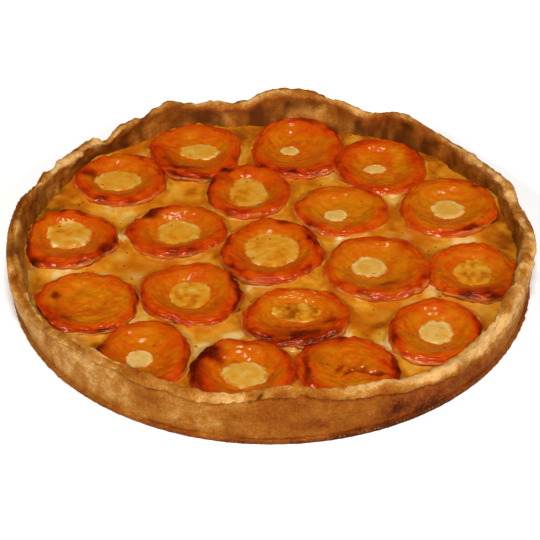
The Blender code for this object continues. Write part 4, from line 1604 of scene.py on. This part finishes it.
@dataclass
class Scatter:
    """Where grains lie: on the filling, on the pastry's wall, and round its foot."""

    surface: BVHTree
    shell: Shell
    seed: int = 12

    speck_count = 170
    speck_reach = 116 * MM
    crumb_count = 260
    crumb_radius = 129 * MM
    crumb_height = 3.5 * MM
    tooth_count = 400
    tooth_missing = 0.06
    tooth_inset = 1.05 * MM
    tooth_height = 1.35 * MM

    def on_filling(self) -> Array:
        """The specks that stand out, and a thin even scatter of others."""
        chance = np.random.default_rng(self.seed)
        turn = chance.uniform(0, TAU, self.speck_count)
        reach = self.speck_reach * np.sqrt(chance.uniform(0, 1, turn.size))
        known_x, known_y = MM * np.transpose(SPECKS)
        x = np.concatenate([known_x, reach * np.cos(turn)])
        y = np.concatenate([known_y, reach * np.sin(turn)])
        return places(x, y, heights_under(self.surface, x, y))

    def on_crust(self, crust: Thing) -> Array:
        """Crumbs on the wall and the rim, at points of the shell's own mesh."""
        chance = np.random.default_rng(self.seed + 1)
        points = points_of(crust)
        reach = np.hypot(points[:, 0], points[:, 1])
        found = points[(reach > self.crumb_radius) & (points[:, 2] > self.crumb_height)]
        return found[chance.choice(len(found), self.crumb_count, replace=False)]

    def round_foot(self) -> Array:
        """The teeth round the foot, unevenly spaced, with some missing."""
        chance = np.random.default_rng(self.seed + 2)
        count = self.tooth_count
        turn = (np.arange(count) + chance.uniform(-0.3, 0.3, count)) / count * TAU
        turn = turn[chance.uniform(0, 1, count) > self.tooth_missing]
        inset = self.tooth_inset - chance.uniform(-0.12, 0.12, turn.size) * MM
        height = self.tooth_height + chance.uniform(-0.15, 0.2, turn.size) * MM
        return around(self.shell.foot_radius - inset, turn, height)


# The small grains' looks: nearly black vanilla seeds, toasted crumbs a shade darker than the wall,
# and crumbs fried dark where fat ran down to the tin's base.
VANILLA = Plain("burnt_vanilla_speck", "baked_custard", relief_size=0.6)
CRUMB = Plain(
    "toasted_crumb", "shortcrust", roughness=0.75, relief_size=0.8, shade="#6E380C", light="#A06428"
)
TOOTH = Plain(
    "fried_crumb", "shortcrust", roughness=0.75, relief_size=0.8, shade="#4A2206", light="#70400F"
)

# Matt paper, so pale and even that the floor shows only the tart's soft shadow.
PAPER = Plain(
    "matt_white_paper",
    "",
    roughness=0.9,
    roughness_spread=0.0,
    relief=0.0,
    relief_size=2.0,
    shade="#FAFAFA",
    light="#FCFCFC",
)


# ---------------------------------------------------------------------------------------------
# The studio


@dataclass
class Studio:
    """A pale floor, soft lights and the camera."""

    elevation: float = 37.04
    distance: float = 1.2
    aim: tuple[float, float, float] = (-0.6 * MM, 0.0, 3.3 * MM)
    lens: float = 157.8
    sensor: float = 36.0
    floor_reach: float = 6.0
    near: float = 0.01

    # Lights: name, place (m), width (m), power (W), colour.
    lamps: tuple[tuple[str, tuple[float, float, float], float, float, str], ...] = (
        ("key", (-1.2, -1.52, 1.52), 0.45, 34.0, "#FFFCF7"),
        ("fill", (1.5, -1.05, 1.2), 0.7, 24.0, "#FFFFFF"),
        ("top", (0.05, -0.95, 2.35), 0.6, 44.0, "#FFFEFC"),
    )

    # The room's brightness, from beyond the tart to behind the camera.
    sky: Stops = ((0.40, "#141414"), (0.70, "#808080"))

    def make_floor(self) -> Thing:
        """A plain pale floor under the tart."""
        reach = self.floor_reach
        mesh = bpy.data.meshes.new("floor")
        corners = [(-reach, -reach, 0), (reach, -reach, 0), (reach, reach, 0), (-reach, reach, 0)]
        mesh.from_pydata(corners, [], [(0, 1, 2, 3)])
        mesh.materials.append(PAPER.make())
        floor = new_thing("floor", mesh)
        return floor

    def aim_at_tart(self, thing: Thing, place: Vector) -> None:
        """Puts a camera or lamp at a place, looking at the tart."""
        thing.location = place
        thing.rotation_euler = (Vector(self.aim) - place).to_track_quat("-Z", "Y").to_euler()

    def make_camera(self) -> None:
        """The camera, in front of the tart and above it."""
        lens = bpy.data.cameras.new("camera")
        lens.lens = self.lens
        lens.sensor_width = self.sensor
        lens.clip_start = self.near
        camera = new_thing("camera", lens)
        rise = math.radians(self.elevation)
        eye = Vector(self.aim) + self.distance * Vector((0, -math.cos(rise), math.sin(rise)))
        self.aim_at_tart(camera, eye)
        bpy.context.scene.camera = camera

    def make_lights(self) -> None:
        """The soft lamps, and a room that is pale behind the camera and dark beyond the tart."""
        for name, place, width, power, colour in self.lamps:
            lamp = bpy.data.lights.new(name, "AREA")
            lamp.size = width
            lamp.energy = power
            lamp.color = linear(colour)[:3]
            self.aim_at_tart(new_thing(name, lamp), Vector(place))
        world = bpy.data.worlds.new("studio")
        bpy.context.scene.world = world
        world.use_nodes = True
        tree = world.node_tree
        tree.nodes.clear()
        coords = add_node(tree, "ShaderNodeTexCoord").outputs["Generated"]
        split = add_node(tree, "ShaderNodeSeparateXYZ", {0: coords})
        toward = {0: split.outputs["Y"], 1: -0.5, 2: 0.5}
        nearness = add_node(tree, "ShaderNodeMath", toward, operation="MULTIPLY_ADD")
        sky = add_node(tree, "ShaderNodeValToRGB", {0: nearness.outputs[0]}, stops=self.sky)
        light = add_node(tree, "ShaderNodeBackground", {"Color": sky.outputs[0], "Strength": 1.0})
        add_node(tree, "ShaderNodeOutputWorld", {"Surface": light.outputs[0]})

    def make(self) -> None:
        """Builds the studio, and shows colours as they are."""
        self.make_camera()
        self.make_floor()
        self.make_lights()
        bpy.context.scene.view_settings.view_transform = "Standard"


# ---------------------------------------------------------------------------------------------
# The tart


def put_on(piece: Thing, slot: str, *nodes: str) -> None:
    """Rides a finished piece on the tart, in place of the solids that it replaces."""
    if nodes:
        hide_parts(*nodes)
    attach(piece, BODY)
    points = points_of(piece)
    low, high = points.min(axis=0), points.max(axis=0)
    log.info("%s: %d faces", piece.name, len(piece.data.polygons))
    for node in nodes:
        node_low, node_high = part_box(node)
        grown = max(max(node_low[i] - low[i], high[i] - node_high[i]) for i in range(3))
        log.info("  stands %.2f mm outside %s", grown / MM, node)


def main() -> None:
    """Builds the studio, then the tart from the shell inwards, then the grains on it."""
    logging.basicConfig(level=logging.INFO, format="%(message)s")
    Studio().make()
    apricot, custard, pastry = RoastApricot(), BakedCustard(), Shortcrust()
    apricot_finish, custard_finish, pastry_finish = apricot.make(), custard.make(), pastry.make()

    shell = Shell()
    crust = shell.make(pastry_finish)
    put_on(crust, pastry.slot, "crust")

    fruit = Fruit()
    fruit.settle()
    bed = Custard(shell, fruit).make(custard_finish)
    put_on(bed, custard.slot, "custard")
    filling = [bed]
    for half in fruit.halves:
        piece = half.make(shell, apricot_finish)
        put_on(piece, apricot.slot, half.node)
        filling.append(piece)
        if half.pool_width:
            pool = Pool(half, tree_of([piece]))
            skin = pool.make(custard_finish)
            put_on(skin, custard.slot, pool.node)
            filling.append(skin)

    scatter = Scatter(tree_of(filling), shell)
    specks = Grains("vanilla_specks", 0.5 * MM, 1.3 * MM, 0.35, 3)
    put_on(specks.make(scatter.on_filling(), VANILLA.make()), VANILLA.slot)
    crumbs = Grains("pastry_crumbs", 0.3 * MM, 0.8 * MM, 0.6, 5)
    put_on(crumbs.make(scatter.on_crust(crust), CRUMB.make()), CRUMB.slot)
    teeth = Grains("foot_teeth", 1.3 * MM, 1.8 * MM, 1.1, 7)
    put_on(teeth.make(scatter.round_foot(), TOOTH.make()), TOOTH.slot)


if __name__ == "__main__":
    main()
